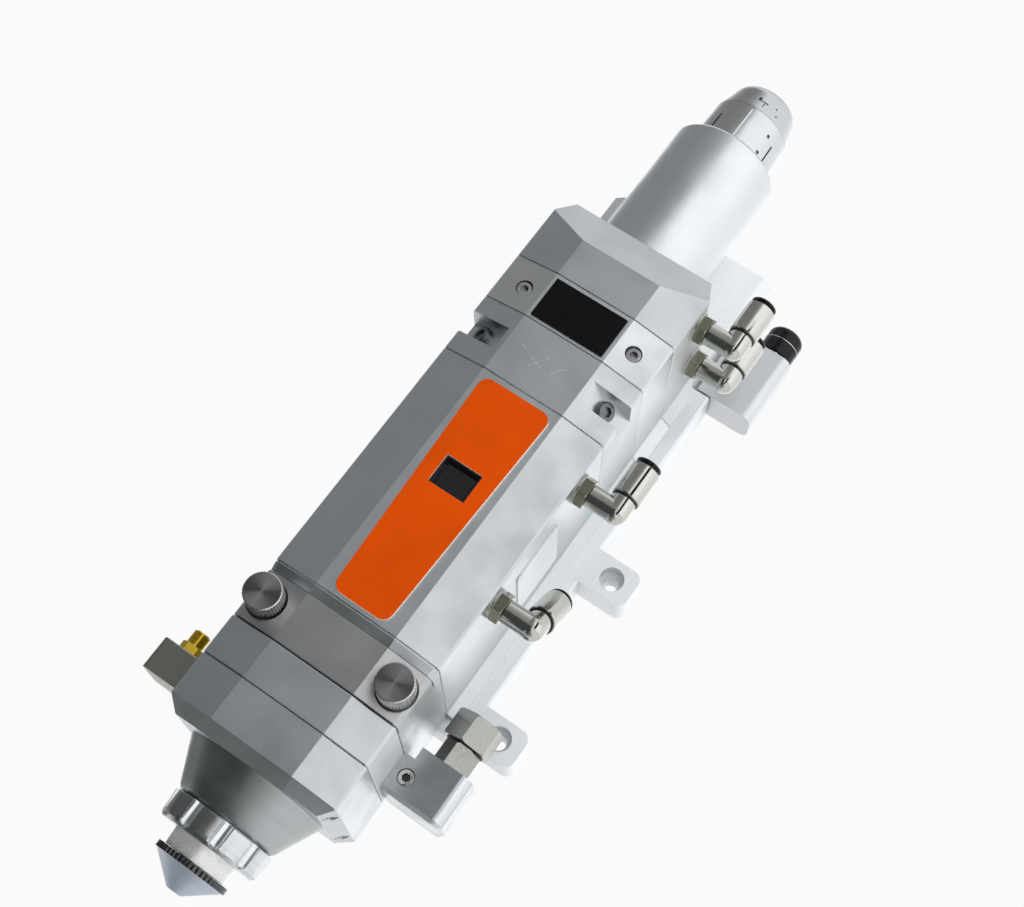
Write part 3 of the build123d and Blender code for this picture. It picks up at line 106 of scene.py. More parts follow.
SCRATCHES = (
    ((-0.0121, -0.096, 0.0827), (0.0035, -0.096, 0.0765)),
    ((-0.0077, -0.096, 0.0715), (0.0011, -0.096, 0.0836)),
    ((0.0052, -0.096, 0.0777), (0.0092, -0.096, 0.0832)),
)

# The studio, in metres and degrees

BACKDROP = 0.956
FLOOR_SIZE = 5.0
FLOOR_FADE = (0.45, 1.9)
TENT_RADIUS = 3.5
TENT_AXIS = (0.9, 0.35, 0.15)
TENT_TONES = (
    (-0.97, 0.23), (-0.75, 0.185), (-0.49, 0.215), (-0.33, 0.34),
    (-0.22, 0.72), (-0.16, 1.0), (0.6, 1.0), (0.95, 0.78),
)
CEILING_RISE = (0.55, 0.85)
CEILING_GLOW = (1.48, 0.98)
LOW_CARD_SIZE = (1.46, 0.36)
LOW_CARD_REACH = 1.75
LOW_CARD_HEIGHT = -0.27
LOW_CARD_BEARINGS = (-25, -70, -115)
LAMP_PLACE = (0.72, -0.95, 1.25)
LAMP_AIM = Vector((0, -0.05, 0.05))
LAMP_SIZE = 0.8
CAMERA_PLACE = (0.157854, -0.685189, -0.162196)
CAMERA_TURN = (112.656975, -34.906307, 0.481852)


def colour(name, text, value):
    """A colour that a user may change."""
    return bpy.props.FloatVectorProperty(
        name=name, description=text, default=value, subtype="COLOR", size=3, min=0.0, max=1.0
    )


def length(name, text, value, least=0.0):
    """A length that a user may change."""
    return bpy.props.FloatProperty(name=name, description=text, default=value, unit="LENGTH", min=least)


def amount(name, text, value):
    """A plain number that a user may change."""
    return bpy.props.FloatProperty(name=name, description=text, default=value)


class HeadColours(bpy.types.PropertyGroup):
    body: colour("Body", "Anodised aluminium of the faceted blocks", (0.57, 0.595, 0.61))
    band: colour("Clamp band", "Brighter anodised aluminium of the clamp band", (0.66, 0.675, 0.685))
    drawer: colour("Drawer", "Anodised aluminium of the window drawer's front", (0.455, 0.455, 0.46))
    light_metal: colour("Light metal", "Fibre tube and inner pieces", (0.69, 0.71, 0.725))
    plate: colour("Plate", "Milled rear pieces, connector box and side plate", (0.73, 0.74, 0.755))
    collar: colour("Collar", "Turned collar, ring and lock nut", (0.62, 0.63, 0.64))
    cone: colour("Cone", "Turned cone under the nozzle block", (0.44, 0.46, 0.465))
    plating: colour("Nozzle plating", "Bluish plating of the nozzle", (0.44, 0.485, 0.56))
    nickel: colour("Nickel", "Plated fittings, gas screw and socket", (0.54, 0.54, 0.50))
    dark_nickel: colour("Dark nickel", "Hexagons of the fittings", (0.27, 0.265, 0.205))
    steel: colour("Steel", "Screws, rods and the dark-toned knurl", (0.55, 0.55, 0.56))
    brass: colour("Brass", "Coaxial socket", (0.72, 0.50, 0.05))
    orange: colour("Orange", "Painted front plate", (0.62, 0.066, 0.0))
    pale_edge: colour("Plate edge", "Pale edge of the orange plate", (0.85, 0.80, 0.70))
    black: colour("Black", "Painted plate on the band, and the focus motor", (0.004, 0.004, 0.005))
    ceramic: colour("Ceramic", "White ceramic ring", (0.80, 0.79, 0.78))
    plastic: colour("Plastic", "Glossy black cap, collets, frame and rings", (0.006, 0.006, 0.008))
    rubber: colour("Rubber", "Rings and seals", (0.015, 0.015, 0.015))
    knob: colour("Thumbscrews", "Turned rims of the thumbscrews", (0.56, 0.56, 0.57))
    knob_face: colour("Thumbscrew faces", "Faced-off discs of the thumbscrews", (0.25, 0.25, 0.25))
    sensor_box: colour("Sensor box", "Anodised box on the left", (0.33, 0.335, 0.30))
    nut_plating: colour("Dark-toned nickel", "Gas nut and adaptor", (0.33, 0.33, 0.305))
    sight: colour("Sight glass", "Dark coated glass in the front plate", (0.003, 0.003, 0.004))
    optics: colour("Optics", "Tint of the lenses and the protective window", (0.86, 0.93, 0.94))
    pale_mark: colour("Pale marks", "Painted line on the collar base", (0.75, 0.76, 0.76))
    dark_mark: colour("Dark marks", "Painted marks on the locking ring", (0.03, 0.03, 0.03))
    scratch: colour("Scratches", "Bare metal in the scratches", (0.84, 0.86, 0.87))


class HeadSizes(bpy.types.PropertyGroup):
    block_edge: length("Block edge", "Soft edge on the milled blocks", 0.00028)
    nut_edge: length("Nut edge", "Soft edge on the gas nut", 0.00025)
    box_edge: length("Box edge", "Soft edge on the sensor box, the hexagons and inner blocks", 0.0002)
    turned_edge: length("Turned edge", "Soft edge on turned pieces and screws", 0.00016)
    knob_edge: length("Knob edge", "Soft edge on the thumbscrews", 0.00012)
    small_edge: length("Small edge", "Soft edge on caps, sockets, rods and seals", 0.0001)
    fine_edge: length("Fine edge", "Soft edge on the thin plates", 0.00008)
    rim_edge: length("Rim edge", "Soft edge on the nozzle and its knurl", 0.00006)
    mark_depth: length("Mark depth", "How far a painted mark stands proud", 0.00006)


class StudioSettings(bpy.types.PropertyGroup):
    floor_height: length("Floor height", "Height of the floor", -0.45, -FLOOR_SIZE)
    lamp_power: amount("Lamp power", "Power of the soft lamp in watts", 10.0)
    lens: amount("Lens", "Focal length of the camera in millimetres", 56.932)


# Working on one piece at a time


def take(piece):
    """Makes one piece the only selected one."""
    bpy.ops.object.select_all(action="DESELECT")
    piece.select_set(True)
    bpy.context.view_layer.objects.active = piece


def editing(kind="VERT"):
    """Goes into edit mode on the piece in hand."""
    bpy.ops.object.mode_set(mode="EDIT")
    bpy.ops.mesh.select_mode(type=kind)


def done():
    """Back to object mode."""
    bpy.ops.object.mode_set(mode="OBJECT")


def turned(name, outline, sides=64):
    """A ring turned about the Z axis from a closed outline of (radius, height) points in millimetres."""
    bpy.ops.object.select_all(action="DESELECT")
    radius, height = outline[0]
    bpy.ops.mesh.primitive_circle_add(vertices=sides, radius=radius * MM, location=(0, 0, 0))
    piece = bpy.context.object
    piece.name = name
    editing()
    bpy.ops.mesh.select_all(action="SELECT")
    bpy.ops.transform.translate(value=(0, 0, height * MM))
    for next_radius, next_height in outline[1:]:
        rise = (next_height - height) * MM
        bpy.ops.mesh.extrude_edges_move(TRANSFORM_OT_translate={"value": (0, 0, rise)})
        scale = next_radius / radius
        bpy.ops.transform.resize(value=(scale, scale, 1), center_override=(0, 0, next_height * MM))
        radius, height = next_radius, next_height
    bpy.ops.mesh.select_all(action="SELECT")
    bpy.ops.mesh.remove_doubles(threshold=1e-6)
    bpy.ops.mesh.normals_make_consistent(inside=False)
    done()
    return piece


def block(name, low, high):
    """A block between two corners in metres, added at its size and place."""
    bpy.ops.object.select_all(action="DESELECT")
    low, high = Vector(low), Vector(high)
    bpy.ops.mesh.primitive_cube_add(size=1, location=(low + high) / 2)
    piece = bpy.context.object
    piece.scale = high - low
    piece.name = name
    bpy.ops.object.transform_apply(location=True, rotation=True, scale=True)
    return piece


def lay(piece, where, turn):
    """Puts a finished piece in its place, with the place kept in its mesh."""
    take(piece)
    piece.rotation_euler = [math.radians(angle) for angle in turn]
    piece.location = where
    bpy.ops.object.transform_apply(location=True, rotation=True, scale=True)


def copy_of(piece, name):
    """A copy with its own mesh."""
    twin = piece.copy()
    twin.data = piece.data.copy()
    twin.name = name
    bpy.context.scene.collection.objects.link(twin)
    return twin


def soften(piece, width, angle):
    """A small bevel on the sharp edges, so that they catch the light."""
    bevel = piece.modifiers.new("Soft edges", "BEVEL")
    bevel.width = width
    bevel.segments = 2
    bevel.limit_method = "ANGLE"
    bevel.angle_limit = math.radians(angle)
    bevel.use_clamp_overlap = True
    normals = piece.modifiers.new("Flat faces", "WEIGHTED_NORMAL")
    normals.keep_sharp = False
    normals.weight = 80


def finish_piece(piece, finish, body):
    """Gives a new piece its finish and the body that it moves with."""
    piece.data.materials.clear()
    piece.data.materials.append(finish)
    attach(piece, body)


def fit(piece, where, turn, finish, body, angle=60.0):
    """Lays a ring in its place, with smooth shading that keeps the sharp edges, and finishes it."""
    lay(piece, where, turn)
    take(piece)
    bpy.ops.object.shade_smooth_by_angle(angle=math.radians(angle))
    finish_piece(piece, finish_of(finish), body)


def dress(node, finish, edge=0.0, angle=30.0):
    """Gives a CAD node its finish and, where wanted, soft edges."""
    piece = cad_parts[node]
    mesh = piece.data
    mesh.materials.clear()
    mesh.materials.append(finish)
    if edge > 0.0:
        take(piece)
        bpy.ops.mesh.customdata_custom_splitnormals_clear()
        mesh.polygons.foreach_set("use_smooth", [True] * len(mesh.polygons))
        weld = piece.modifiers.new("Joined facets", "WELD")
        weld.merge_threshold = 0.00001
        soften(piece, edge, angle)
    return piece


def paint_faces(piece, finish, wanted):
    """Gives the faces that pass the test a finish of their own."""
    mesh = piece.data
    mesh.materials.append(finish)
    index = len(mesh.materials) - 1
    for face in mesh.polygons:
        if wanted(face.center, face.normal):
            face.material_index = index


# Finishes


class Finish:
    """One procedural finish on Object coordinates."""

    def __init__(self, name, base, metallic, roughness):
        self.material = bpy.data.materials.new(name)
        self.material.use_nodes = True
        self.material.diffuse_color = (*base, 1.0)
        self.tree = self.material.node_tree
        self.tree.nodes.clear()
        self.shader = self.tree.nodes.new("ShaderNodeBsdfPrincipled")
        output = self.tree.nodes.new("ShaderNodeOutputMaterial")
        self.tree.links.new(self.shader.outputs["BSDF"], output.inputs["Surface"])
        self.shader.inputs["Metallic"].default_value = metallic
        self.shader.inputs["Roughness"].default_value = roughness
        self.shader.inputs["Base Color"].default_value = (*base, 1.0)
        self.base = base
        self.place = self.tree.nodes.new("ShaderNodeTexCoord").outputs["Object"]

    def node(self, kind, settings=(), **inputs):
        """Adds a node; an input is a value or the socket that feeds it."""
        node = self.tree.nodes.new(kind)
        for key, value in dict(settings).items():
            setattr(node, key, value)
        for key, value in inputs.items():
            index = int(key[1:]) if key[0] == "i" and key[1:].isdigit() else key.replace("_", " ")
            if isinstance(value, bpy.types.NodeSocket):
                self.tree.links.new(value, node.inputs[index])
            else:
                node.inputs[index].default_value = value
        return node

    def vector(self, operation, **inputs):
        """Adds a node that works on vectors."""
        return self.node("ShaderNodeVectorMath", {"operation": operation}, **inputs)

    def noise(self, scale, stretch=(1, 1, 1), detail=3.0):
        """Cloudy or grained noise, stretched along an axis by a small factor there."""
        place = self.node("ShaderNodeMapping", Vector=self.place, Scale=stretch).outputs[0]
        return self.node("ShaderNodeTexNoise", Vector=place, Scale=scale, Detail=detail).outputs[0]

    def spread(self, value, low, high, start=0.35, end=0.65):
        """Maps a pattern onto a range of values."""
        return self.node(
            "ShaderNodeMapRange", i0=value, i1=start, i2=end, i3=low, i4=high
        ).outputs[0]

    def mix(self, share, first, second):
        """Blends two colours."""
        node = self.tree.nodes.new("ShaderNodeMix")
        node.data_type = "RGBA"
        for index, value in ((0, share), (6, first), (7, second)):
            if isinstance(value, bpy.types.NodeSocket):
                self.tree.links.new(value, node.inputs[index])
            else:
                node.inputs[index].default_value = (*value, 1.0) if index else value
        return node.outputs[2]

    def shade(self, low, high, pattern):
        """Lets the base colour run between two brightnesses."""
        dark = tuple(min(1.0, part * low) for part in self.base)
        light = tuple(min(1.0, part * high) for part in self.base)
        shaded = self.mix(pattern, dark, light)
        self.paint(shaded)
        return shaded

    def paint(self, value):
        """Feeds the base colour."""
        self.tree.links.new(value, self.shader.inputs["Base Color"])

    def polish(self, value):
        """Feeds the roughness."""
        self.tree.links.new(value, self.shader.inputs["Roughness"])

    def bump(self, value, height, strength):
        """Adds relief; the height is in metres."""
        relief = self.node("ShaderNodeBump", Height=value, Distance=height, Strength=strength)
        self.tree.links.new(relief.outputs[0], self.shader.inputs["Normal"])

    def scratch(self, start, end, width=0.00022):
        """How much of a scratch between two points shows: 1 along it and 0 away from it."""
        start, run = Vector(start), Vector(end) - Vector(start)
        sway = self.node("ShaderNodeTexNoise", Vector=self.place, Scale=260.0, Detail=3.0).outputs[1]
        moved = self.vector("MULTIPLY_ADD", i0=sway, i1=(0.0012, 0.0, 0.0012), i2=self.place).outputs[0]
        away = self.vector("SUBTRACT", i0=moved, i1=start).outputs[0]
        share = self.vector("DOT_PRODUCT", i0=away, i1=run / run.length_squared).outputs[1]
        held = self.node("ShaderNodeClamp", i0=share).outputs[0]
        near = self.vector("SCALE", i0=run, Scale=held).outputs[0]
        gap = self.vector("DISTANCE", i0=away, i1=near).outputs[1]
        line = self.spread(gap, 1.0, 0.0, 0.3 * width, width)
        broken = self.spread(self.noise(420.0, detail=4.0), 0.0, 1.0, 0.42, 0.58)
        return self.node("ShaderNodeMath", {"operation": "MULTIPLY"}, i0=line, i1=broken).outputs[0]

    def across(self, centre, axis):
        """Brushing that runs in circles round an axis."""
        self.shader.inputs["Anisotropic"].default_value = 1.0
        away = self.vector("SUBTRACT", i0=self.place, i1=centre)
        along = self.vector("CROSS_PRODUCT", i0=away.outputs[0], i1=axis)
        to_world = {"vector_type": "VECTOR", "convert_from": "OBJECT", "convert_to": "WORLD"}
        turned_way = self.node("ShaderNodeVectorTransform", to_world, Vector=along.outputs[0])
        unit = self.vector("NORMALIZE", i0=turned_way.outputs[0])
        self.tree.links.new(unit.outputs[0], self.shader.inputs["Tangent"])
        return away


def anodised(name, base, roughness=0.36, scratches=()):
    """Bead-blasted and anodised aluminium with faint clouds and, where they are given, scratches."""
    finish = Finish(name, base, 1.0, roughness)
    clouds = finish.noise(18.0, detail=2.0)
    grain = finish.noise(1150.0, detail=3.0)
    tone = finish.spread(clouds, 0.25, 0.75)
    shaded = finish.shade(0.94, 1.04, finish.mix(0.45, tone, finish.spread(grain, 0.0, 1.0)))
    bare = tuple(bpy.context.scene.head_colours.scratch)
    for start, end in scratches:
        shaded = finish.mix(finish.scratch(start, end), shaded, bare)
        finish.paint(shaded)
    finish.polish(finish.spread(finish.noise(55.0, detail=4.0), roughness - 0.05, roughness + 0.06))
    finish.bump(grain, 0.00002, 0.6)
    return finish.material


def light_metal(name, base, roughness=0.4, contrast=0.02, metallic=1.0):
    """Clear anodised aluminium with a fine drawn grain."""
    finish = Finish(name, base, metallic, roughness)
    grain = finish.noise(1400.0, stretch=(1, 1, 0.04), detail=3.0)
    finish.shade(1.0 - contrast, 1.0 + contrast / 2, finish.spread(grain, 0.0, 1.0))
    finish.polish(finish.spread(finish.noise(40.0, detail=3.0), roughness - 0.05, roughness + 0.06))
    finish.bump(grain, 0.000004, 0.4)
    return finish.material


def lathe_metal(name, base, roughness, pitch=1500.0, depth=0.000006, contrast=0.05):
    """Turned metal with fine tool rings along the beam axis."""
    finish = Finish(name, base, 1.0, roughness)
    rings = finish.noise(pitch, stretch=(0.01, 0.01, 1), detail=2.0)
    finish.shade(1.0 - contrast, 1.0 + contrast, finish.spread(rings, 0.0, 1.0))
    finish.polish(finish.spread(finish.noise(60.0), roughness - 0.05, roughness + 0.08))
    finish.bump(rings, depth, 0.7)
    return finish.material


def plated(name, base, roughness=0.1, relief=0.000004):
    """Bright plating with a slight waviness."""
    finish = Finish(name, base, 1.0, roughness)
    finish.shade(0.96, 1.03, finish.spread(finish.noise(900.0), 0.0, 1.0))
    finish.polish(finish.spread(finish.noise(700.0, detail=4.0), roughness - 0.03, roughness + 0.05))
    finish.bump(finish.noise(1500.0, detail=2.0), relief, 0.4)
    return finish.material


def painted(name, base, roughness, peel=0.000025):
    """Sprayed paint with a fine orange-peel surface."""
    finish = Finish(name, base, 0.0, roughness)
    finish.shader.inputs["Specular IOR Level"].default_value = 0.08
    finish.shade(0.93, 1.05, finish.spread(finish.noise(35.0, detail=4.0), 0.0, 1.0))
    finish.polish(finish.spread(finish.noise(220.0), roughness - 0.06, roughness + 0.06))
    finish.bump(finish.noise(900.0, detail=2.0), peel, 0.6)
    return finish.material


def fired_ceramic(name, base):
    """Glazed white ceramic with faint specks and a grey rubbed tone."""
    finish = Finish(name, base, 0.45, 0.22)
    finish.shader.inputs["Subsurface Weight"].default_value = 0.05
    finish.shader.inputs["Subsurface Scale"].default_value = 0.001
    finish.shade(0.93, 1.0, finish.spread(finish.noise(160.0, detail=5.0), 0.0, 1.0))
    finish.polish(finish.spread(finish.noise(400.0), 0.16, 0.32))
    finish.bump(finish.noise(700.0), 0.00001, 0.5)
    return finish.material


def moulded(name, base, roughness, relief=0.00002, shine=0.5):
    """Moulded plastic or rubber with a light texture."""
    finish = Finish(name, base, 0.0, roughness)
    finish.shader.inputs["Specular IOR Level"].default_value = shine
    finish.shade(0.8, 1.3, finish.spread(finish.noise(120.0), 0.0, 1.0))
    finish.polish(finish.spread(finish.noise(500.0), roughness - 0.05, roughness + 0.08))
    finish.bump(finish.noise(1500.0), relief, 0.5)
    return finish.material


def clear_glass(name, tint):
    """Optical glass with a faint coating tint."""
    finish = Finish(name, tint, 0.0, 0.02)
    finish.shader.inputs["Transmission Weight"].default_value = 0.95
    finish.shader.inputs["IOR"].default_value = 1.46
    finish.polish(finish.spread(finish.noise(30.0), 0.01, 0.05))
    return finish.material


def dark_glass(name, tint):
    """Dark coated sight glass that shows only what it mirrors."""
    finish = Finish(name, tint, 0.0, 0.04)
    finish.shader.inputs["Coat Weight"].default_value = 0.4
    finish.shade(0.7, 1.4, finish.spread(finish.noise(90.0), 0.0, 1.0))
    finish.polish(finish.spread(finish.noise(60.0), 0.02, 0.08))
    return finish.material


def brushed_face(name, base, centre, axis, roughness=0.36):
    """A faced-off disc with fine rings that throw fans of light."""
    finish = Finish(name, base, 1.0, roughness)
    away = finish.across(centre, axis)
    reach = finish.vector("LENGTH", i0=away.outputs[0]).outputs[1]
    lines = finish.node("ShaderNodeTexNoise", {"noise_dimensions": "1D"}, W=reach, Scale=2600.0, Detail=3.0)
    rings = lines.outputs[0]
    finish.shade(0.86, 1.12, finish.spread(rings, 0.0, 1.0))
    finish.bump(rings, 0.000006, 0.6)
    return finish.material


def scaled(base, share):
    """A colour made lighter or darker by a factor."""
    return tuple(share * part for part in base)


def make_finishes():
    """All the finishes, by name."""
    tones = bpy.context.scene.head_colours
    return {
        "body": anodised("Anodised grey", tones.body),
        "scratched": anodised("Scratched anodised grey", tones.body, scratches=SCRATCHES),
        # Painted highlight: the body's anodising made lighter, for the sides that face right and the
        # rounded edges of the gas block
        "side": anodised("Anodised with painted highlight", scaled(tones.body, 1.1)),
        "band": anodised("Anodised band", tones.band, roughness=0.34),
        "tube": anodised("Anodised tube", tones.light_metal, roughness=0.38),
        "drawer": anodised("Anodised drawer", tones.drawer),
        "gas": anodised("Anodised inlet", scaled(tones.body, 0.7), roughness=0.24),
        "box": anodised("Anodised box", tones.sensor_box, roughness=0.34),
        "light": light_metal("Light aluminium", tones.light_metal),
        "plate": light_metal("Milled plate", tones.plate, roughness=0.45, contrast=0.06, metallic=0.45),
        # Painted light: the plate tone made lighter, for the faces of the rear pieces that look to the
        # front
        "faced": light_metal(
            "Plate painted lighter", scaled(tones.plate, 1.2), roughness=0.45, contrast=0.03, metallic=0.45
        ),
        # The connector box's own anodising, also used as painted light on the right sides of the cap and
        # the sensor block
        "cover": light_metal("Anodised cover", scaled(tones.plate, 0.85), contrast=0.03, metallic=0.6),
        "collar": lathe_metal(
            "Turned collar", tones.collar, roughness=0.22, pitch=1300.0, depth=0.000004, contrast=0.04
        ),
        "cone": lathe_metal(
            "Turned cone", tones.cone, roughness=0.34, pitch=900.0, depth=0.000002, contrast=0.03
        ),
        "nozzle": lathe_metal(
            "Nozzle plating", tones.plating, roughness=0.28, pitch=1100.0, depth=0.000003, contrast=0.03
        ),
        "nickel": plated("Nickel", tones.nickel),
        "nut": plated("Dark-toned nickel", tones.nut_plating, roughness=0.2, relief=0.0000012),
        "dark nickel": plated("Dark nickel", tones.dark_nickel, roughness=0.08),
        # Painted shade: darker steel for the pocket screws, the recesses of the band screws and the top rim
        # of the collar ring
        "shaded steel": plated("Steel with painted shade", scaled(tones.steel, 0.3), roughness=0.3),
        "knurl": plated("Dark-toned knurl", scaled(tones.steel, 0.14), roughness=0.24),
        "steel": plated("Steel", tones.steel, roughness=0.26),
        "brass": plated("Brass", tones.brass, roughness=0.2),
        "orange": painted("Orange paint", tones.orange, roughness=0.4),
        "pale edge": painted("Plate edge", tones.pale_edge, roughness=0.5),
        "black": painted("Black paint", tones.black, roughness=0.42),
        "mark": painted("Pale marking", tones.pale_mark, roughness=0.5),
        "dark mark": painted("Dark marking", tones.dark_mark, roughness=0.5),
        "ceramic": fired_ceramic("White ceramic", tones.ceramic),
        "plastic": moulded("Black plastic", tones.plastic, roughness=0.14, relief=0.000008, shine=0.2),
        "gloss": moulded("Glossy black", tones.plastic, roughness=0.1, relief=0.000004),
        "rubber": moulded("Rubber", tones.rubber, roughness=0.5),
        "dark glass": dark_glass("Dark sight glass", tones.sight),
        "glass": clear_glass("Optic glass", tones.optics),
    }


FINISHES = {}


def finish_of(name):
    """A finish, made on first use."""
    if not FINISHES:
        FINISHES.update(make_finishes())
    return FINISHES[name]


# The studio


def tent_light():
    """Walls of the light tent: pale at the right and behind, greyer towards the front left."""
    material = bpy.data.materials.new("Light tent")
    material.use_nodes = True
    tree = material.node_tree
    tree.nodes.clear()
    place = tree.nodes.new("ShaderNodeTexCoord")
    unit = tree.nodes.new("ShaderNodeVectorMath")
    unit.operation = "NORMALIZE"
    tree.links.new(place.outputs["Object"], unit.inputs[0])
    along = tree.nodes.new("ShaderNodeVectorMath")
    along.operation = "DOT_PRODUCT"
    along.inputs[1].default_value = Vector(TENT_AXIS).normalized()
    tree.links.new(unit.outputs[0], along.inputs[0])
    ramp = tree.nodes.new("ShaderNodeMapRange")
    tree.links.new(along.outputs["Value"], ramp.inputs[0])
    ramp.inputs[1].default_value = -1.0
    ramp.inputs[2].default_value = 1.0
    tones = tree.nodes.new("ShaderNodeValToRGB")
    tree.links.new(ramp.outputs[0], tones.inputs["Fac"])
    while len(tones.color_ramp.elements) < len(TENT_TONES):
        tones.color_ramp.elements.new(0.5)
    for element, (reach, tone) in zip(tones.color_ramp.elements, TENT_TONES):
        element.position = (reach + 1) / 2
        element.color = (tone * 0.985, tone, tone * 1.01, 1)
    glow = tree.nodes.new("ShaderNodeEmission")
    tree.links.new(tones.outputs[0], glow.inputs["Color"])
    output = tree.nodes.new("ShaderNodeOutputMaterial")
    tree.links.new(glow.outputs[0], output.inputs["Surface"])
    height = tree.nodes.new("ShaderNodeSeparateXYZ")
    tree.links.new(unit.outputs[0], height.inputs[0])
    ceiling = tree.nodes.new("ShaderNodeMapRange")
    tree.links.new(height.outputs["Z"], ceiling.inputs[0])
    for index, value in enumerate((*CEILING_RISE, *CEILING_GLOW), 1):
        ceiling.inputs[index].default_value = value
    tree.links.new(ceiling.outputs[0], glow.inputs["Strength"])
    material.cycles.emission_sampling = "NONE"
    return material


def floor_paint():
    """Pale matt floor that keeps the object's shadow and melts into the backdrop further out."""
    finish = Finish("Pale floor", (0.74, 0.74, 0.74), 0.0, 0.9)
    finish.shader.inputs["Specular IOR Level"].default_value = 0.0
    near = finish.shade(0.99, 1.01, finish.spread(finish.noise(4.0), 0.0, 1.0))
    reach = finish.vector("LENGTH", i0=finish.place).outputs[1]
    near_end, far_end = FLOOR_FADE
    soft = {"interpolation_type": "SMOOTHSTEP"}
    fade = finish.node("ShaderNodeMapRange", soft, i0=reach, i1=near_end, i2=far_end)
    finish.paint(finish.mix(fade.outputs[0], near, (0.0, 0.0, 0.0)))
    finish.shader.inputs["Emission Strength"].default_value = 1.0
    glow = finish.mix(fade.outputs[0], (0.12, 0.12, 0.12), (BACKDROP, BACKDROP, BACKDROP))
    finish.tree.links.new(glow, finish.shader.inputs["Emission Color"])
    finish.material.cycles.emission_sampling = "NONE"
    return finish.material


def dark_card():
    """Dark mat in front of the set, paler towards its right end."""
    finish = Finish("Dark card", (0.05, 0.05, 0.05), 0.0, 0.9)
    parts = finish.node("ShaderNodeSeparateXYZ", Vector=finish.place)
    share = finish.spread(parts.outputs[0], 0.0, 1.0, 0.02, 0.26)
    across = finish.mix(share, (0.05, 0.057, 0.054), (0.45, 0.45, 0.45))
    depth = finish.vector("DOT_PRODUCT", i0=finish.place, i1=(0.227, 0.974, 0.0)).outputs[1]
    finish.paint(finish.mix(finish.spread(depth, 0.0, 1.0, -0.15, 0.08), across, (0.8, 0.8, 0.8)))
    return finish.material


def card_paint(name, tone):
    """A plain matt paint for a card."""
    return Finish(name, tone, 0.0, 0.9).material


def reflector(name, material, size, where, turn):
    """A card or flag beside the set, seen only in reflections."""
    bpy.ops.object.select_all(action="DESELECT")
    bpy.ops.mesh.primitive_plane_add(size=1, location=(0, 0, 0))
    card = bpy.context.object
    card.name = name
    card.scale = (*size, 1)
    bpy.ops.object.transform_apply(location=False, rotation=False, scale=True)
    lay(card, where, turn)
    card.data.materials.append(material)
    card.visible_camera = False
    card.visible_diffuse = False
    card.visible_transmission = False
    card.visible_shadow = False
    return card


class LASERHEAD_OT_studio(bpy.types.Operator):
    """Adds the floor, the light tent, the lamp and the camera"""

    bl_idname = "laserhead.studio"
    bl_label = "Studio"

    def execute(self, context):
        settings = context.scene.studio_settings
        bpy.ops.object.select_all(action="DESELECT")
        bpy.ops.mesh.primitive_plane_add(size=FLOOR_SIZE, location=(0, 0, settings.floor_height))
        floor = context.object
        floor.name = "floor"
        editing("FACE")
        bpy.ops.mesh.subdivide(number_cuts=3)
        done()
        floor.data.materials.append(floor_paint())
        bpy.ops.object.select_all(action="DESELECT")
        bpy.ops.mesh.primitive_uv_sphere_add(
            segments=64, ring_count=32, radius=TENT_RADIUS, location=(0, 0, 0)
        )
        tent = context.object
        tent.name = "light_tent"
        editing("FACE")
        bpy.ops.mesh.flip_normals()
        done()
        bpy.ops.object.shade_smooth()
        tent.data.materials.append(tent_light())
        tent.visible_camera = False
        tent.visible_transmission = False
        tent.visible_shadow = False
        cards = [
            reflector("dark_card", dark_card(),
                      size=(2.6, 3.0), where=(-1.27, -1.16, -0.43), turn=(0, 0, -13.1)),
            reflector("grey_card", card_paint("Grey card", (0.26, 0.27, 0.27)),
                      size=(2.5, 1.8), where=(-1.8, 1.1, -0.43), turn=(0, 0, 0)),
            reflector("black_flag", card_paint("Black flag", (0.01, 0.01, 0.01)),
                      size=(0.036, 0.22), where=(0.098, -0.179, 0.086), turn=(90, 0, 24)),
        ]
        low_card = card_paint("Low card", (0.07, 0.07, 0.07))
        for number, bearing in enumerate(LOW_CARD_BEARINGS, 1):
            turn = math.radians(bearing)
            where = (LOW_CARD_REACH * math.sin(turn), -LOW_CARD_REACH * math.cos(turn), LOW_CARD_HEIGHT)
            cards.append(reflector(f"low_card_{number}", low_card, LOW_CARD_SIZE, where, (90, 0, bearing)))
        bpy.ops.object.light_add(type="AREA", location=LAMP_PLACE)
        lamp = context.object
        lamp.name = "soft_lamp"
        lamp.data.shape = "DISK"
        lamp.data.size = LAMP_SIZE
        lamp.data.energy = settings.lamp_power
        lamp.visible_glossy = False
        lamp.rotation_euler = (LAMP_AIM - lamp.location).to_track_quat("-Z", "Y").to_euler()
        world = bpy.data.worlds.new("Studio")
        world.use_nodes = True
        background = world.node_tree.nodes["Background"]
        background.inputs["Color"].default_value = (BACKDROP, BACKDROP, BACKDROP, 1)
        background.inputs["Strength"].default_value = 1.0
        context.scene.world = world
        bpy.ops.object.camera_add(
            location=CAMERA_PLACE,
            rotation=[math.radians(angle) for angle in CAMERA_TURN],
        )
        camera = context.object
        camera.data.sensor_width = 36
        camera.data.lens = settings.lens
        context.scene.camera = camera
        context.scene.view_settings.view_transform = "Standard"
        return {"FINISHED"}


class LASERHEAD_OT_blocks(bpy.types.Operator):
    """Finishes the faceted blocks of the body"""

    bl_idname = "laserhead.blocks"
    bl_label = "Body blocks"

    def execute(self, context):
        edge = context.scene.head_sizes.block_edge
        for node, finish in BLOCKS.items():
            piece = dress(node, finish_of(finish), edge, FACET_ANGLE)
            if node in LIT_RIGHT_SIDES:
                # Painted light: the faces that look right get a lighter finish than the rest of their block
                paint_faces(piece, finish_of(LIT_RIGHT_SIDES[node]), lambda middle, normal: normal.x > 0.9)
        return {"FINISHED"}


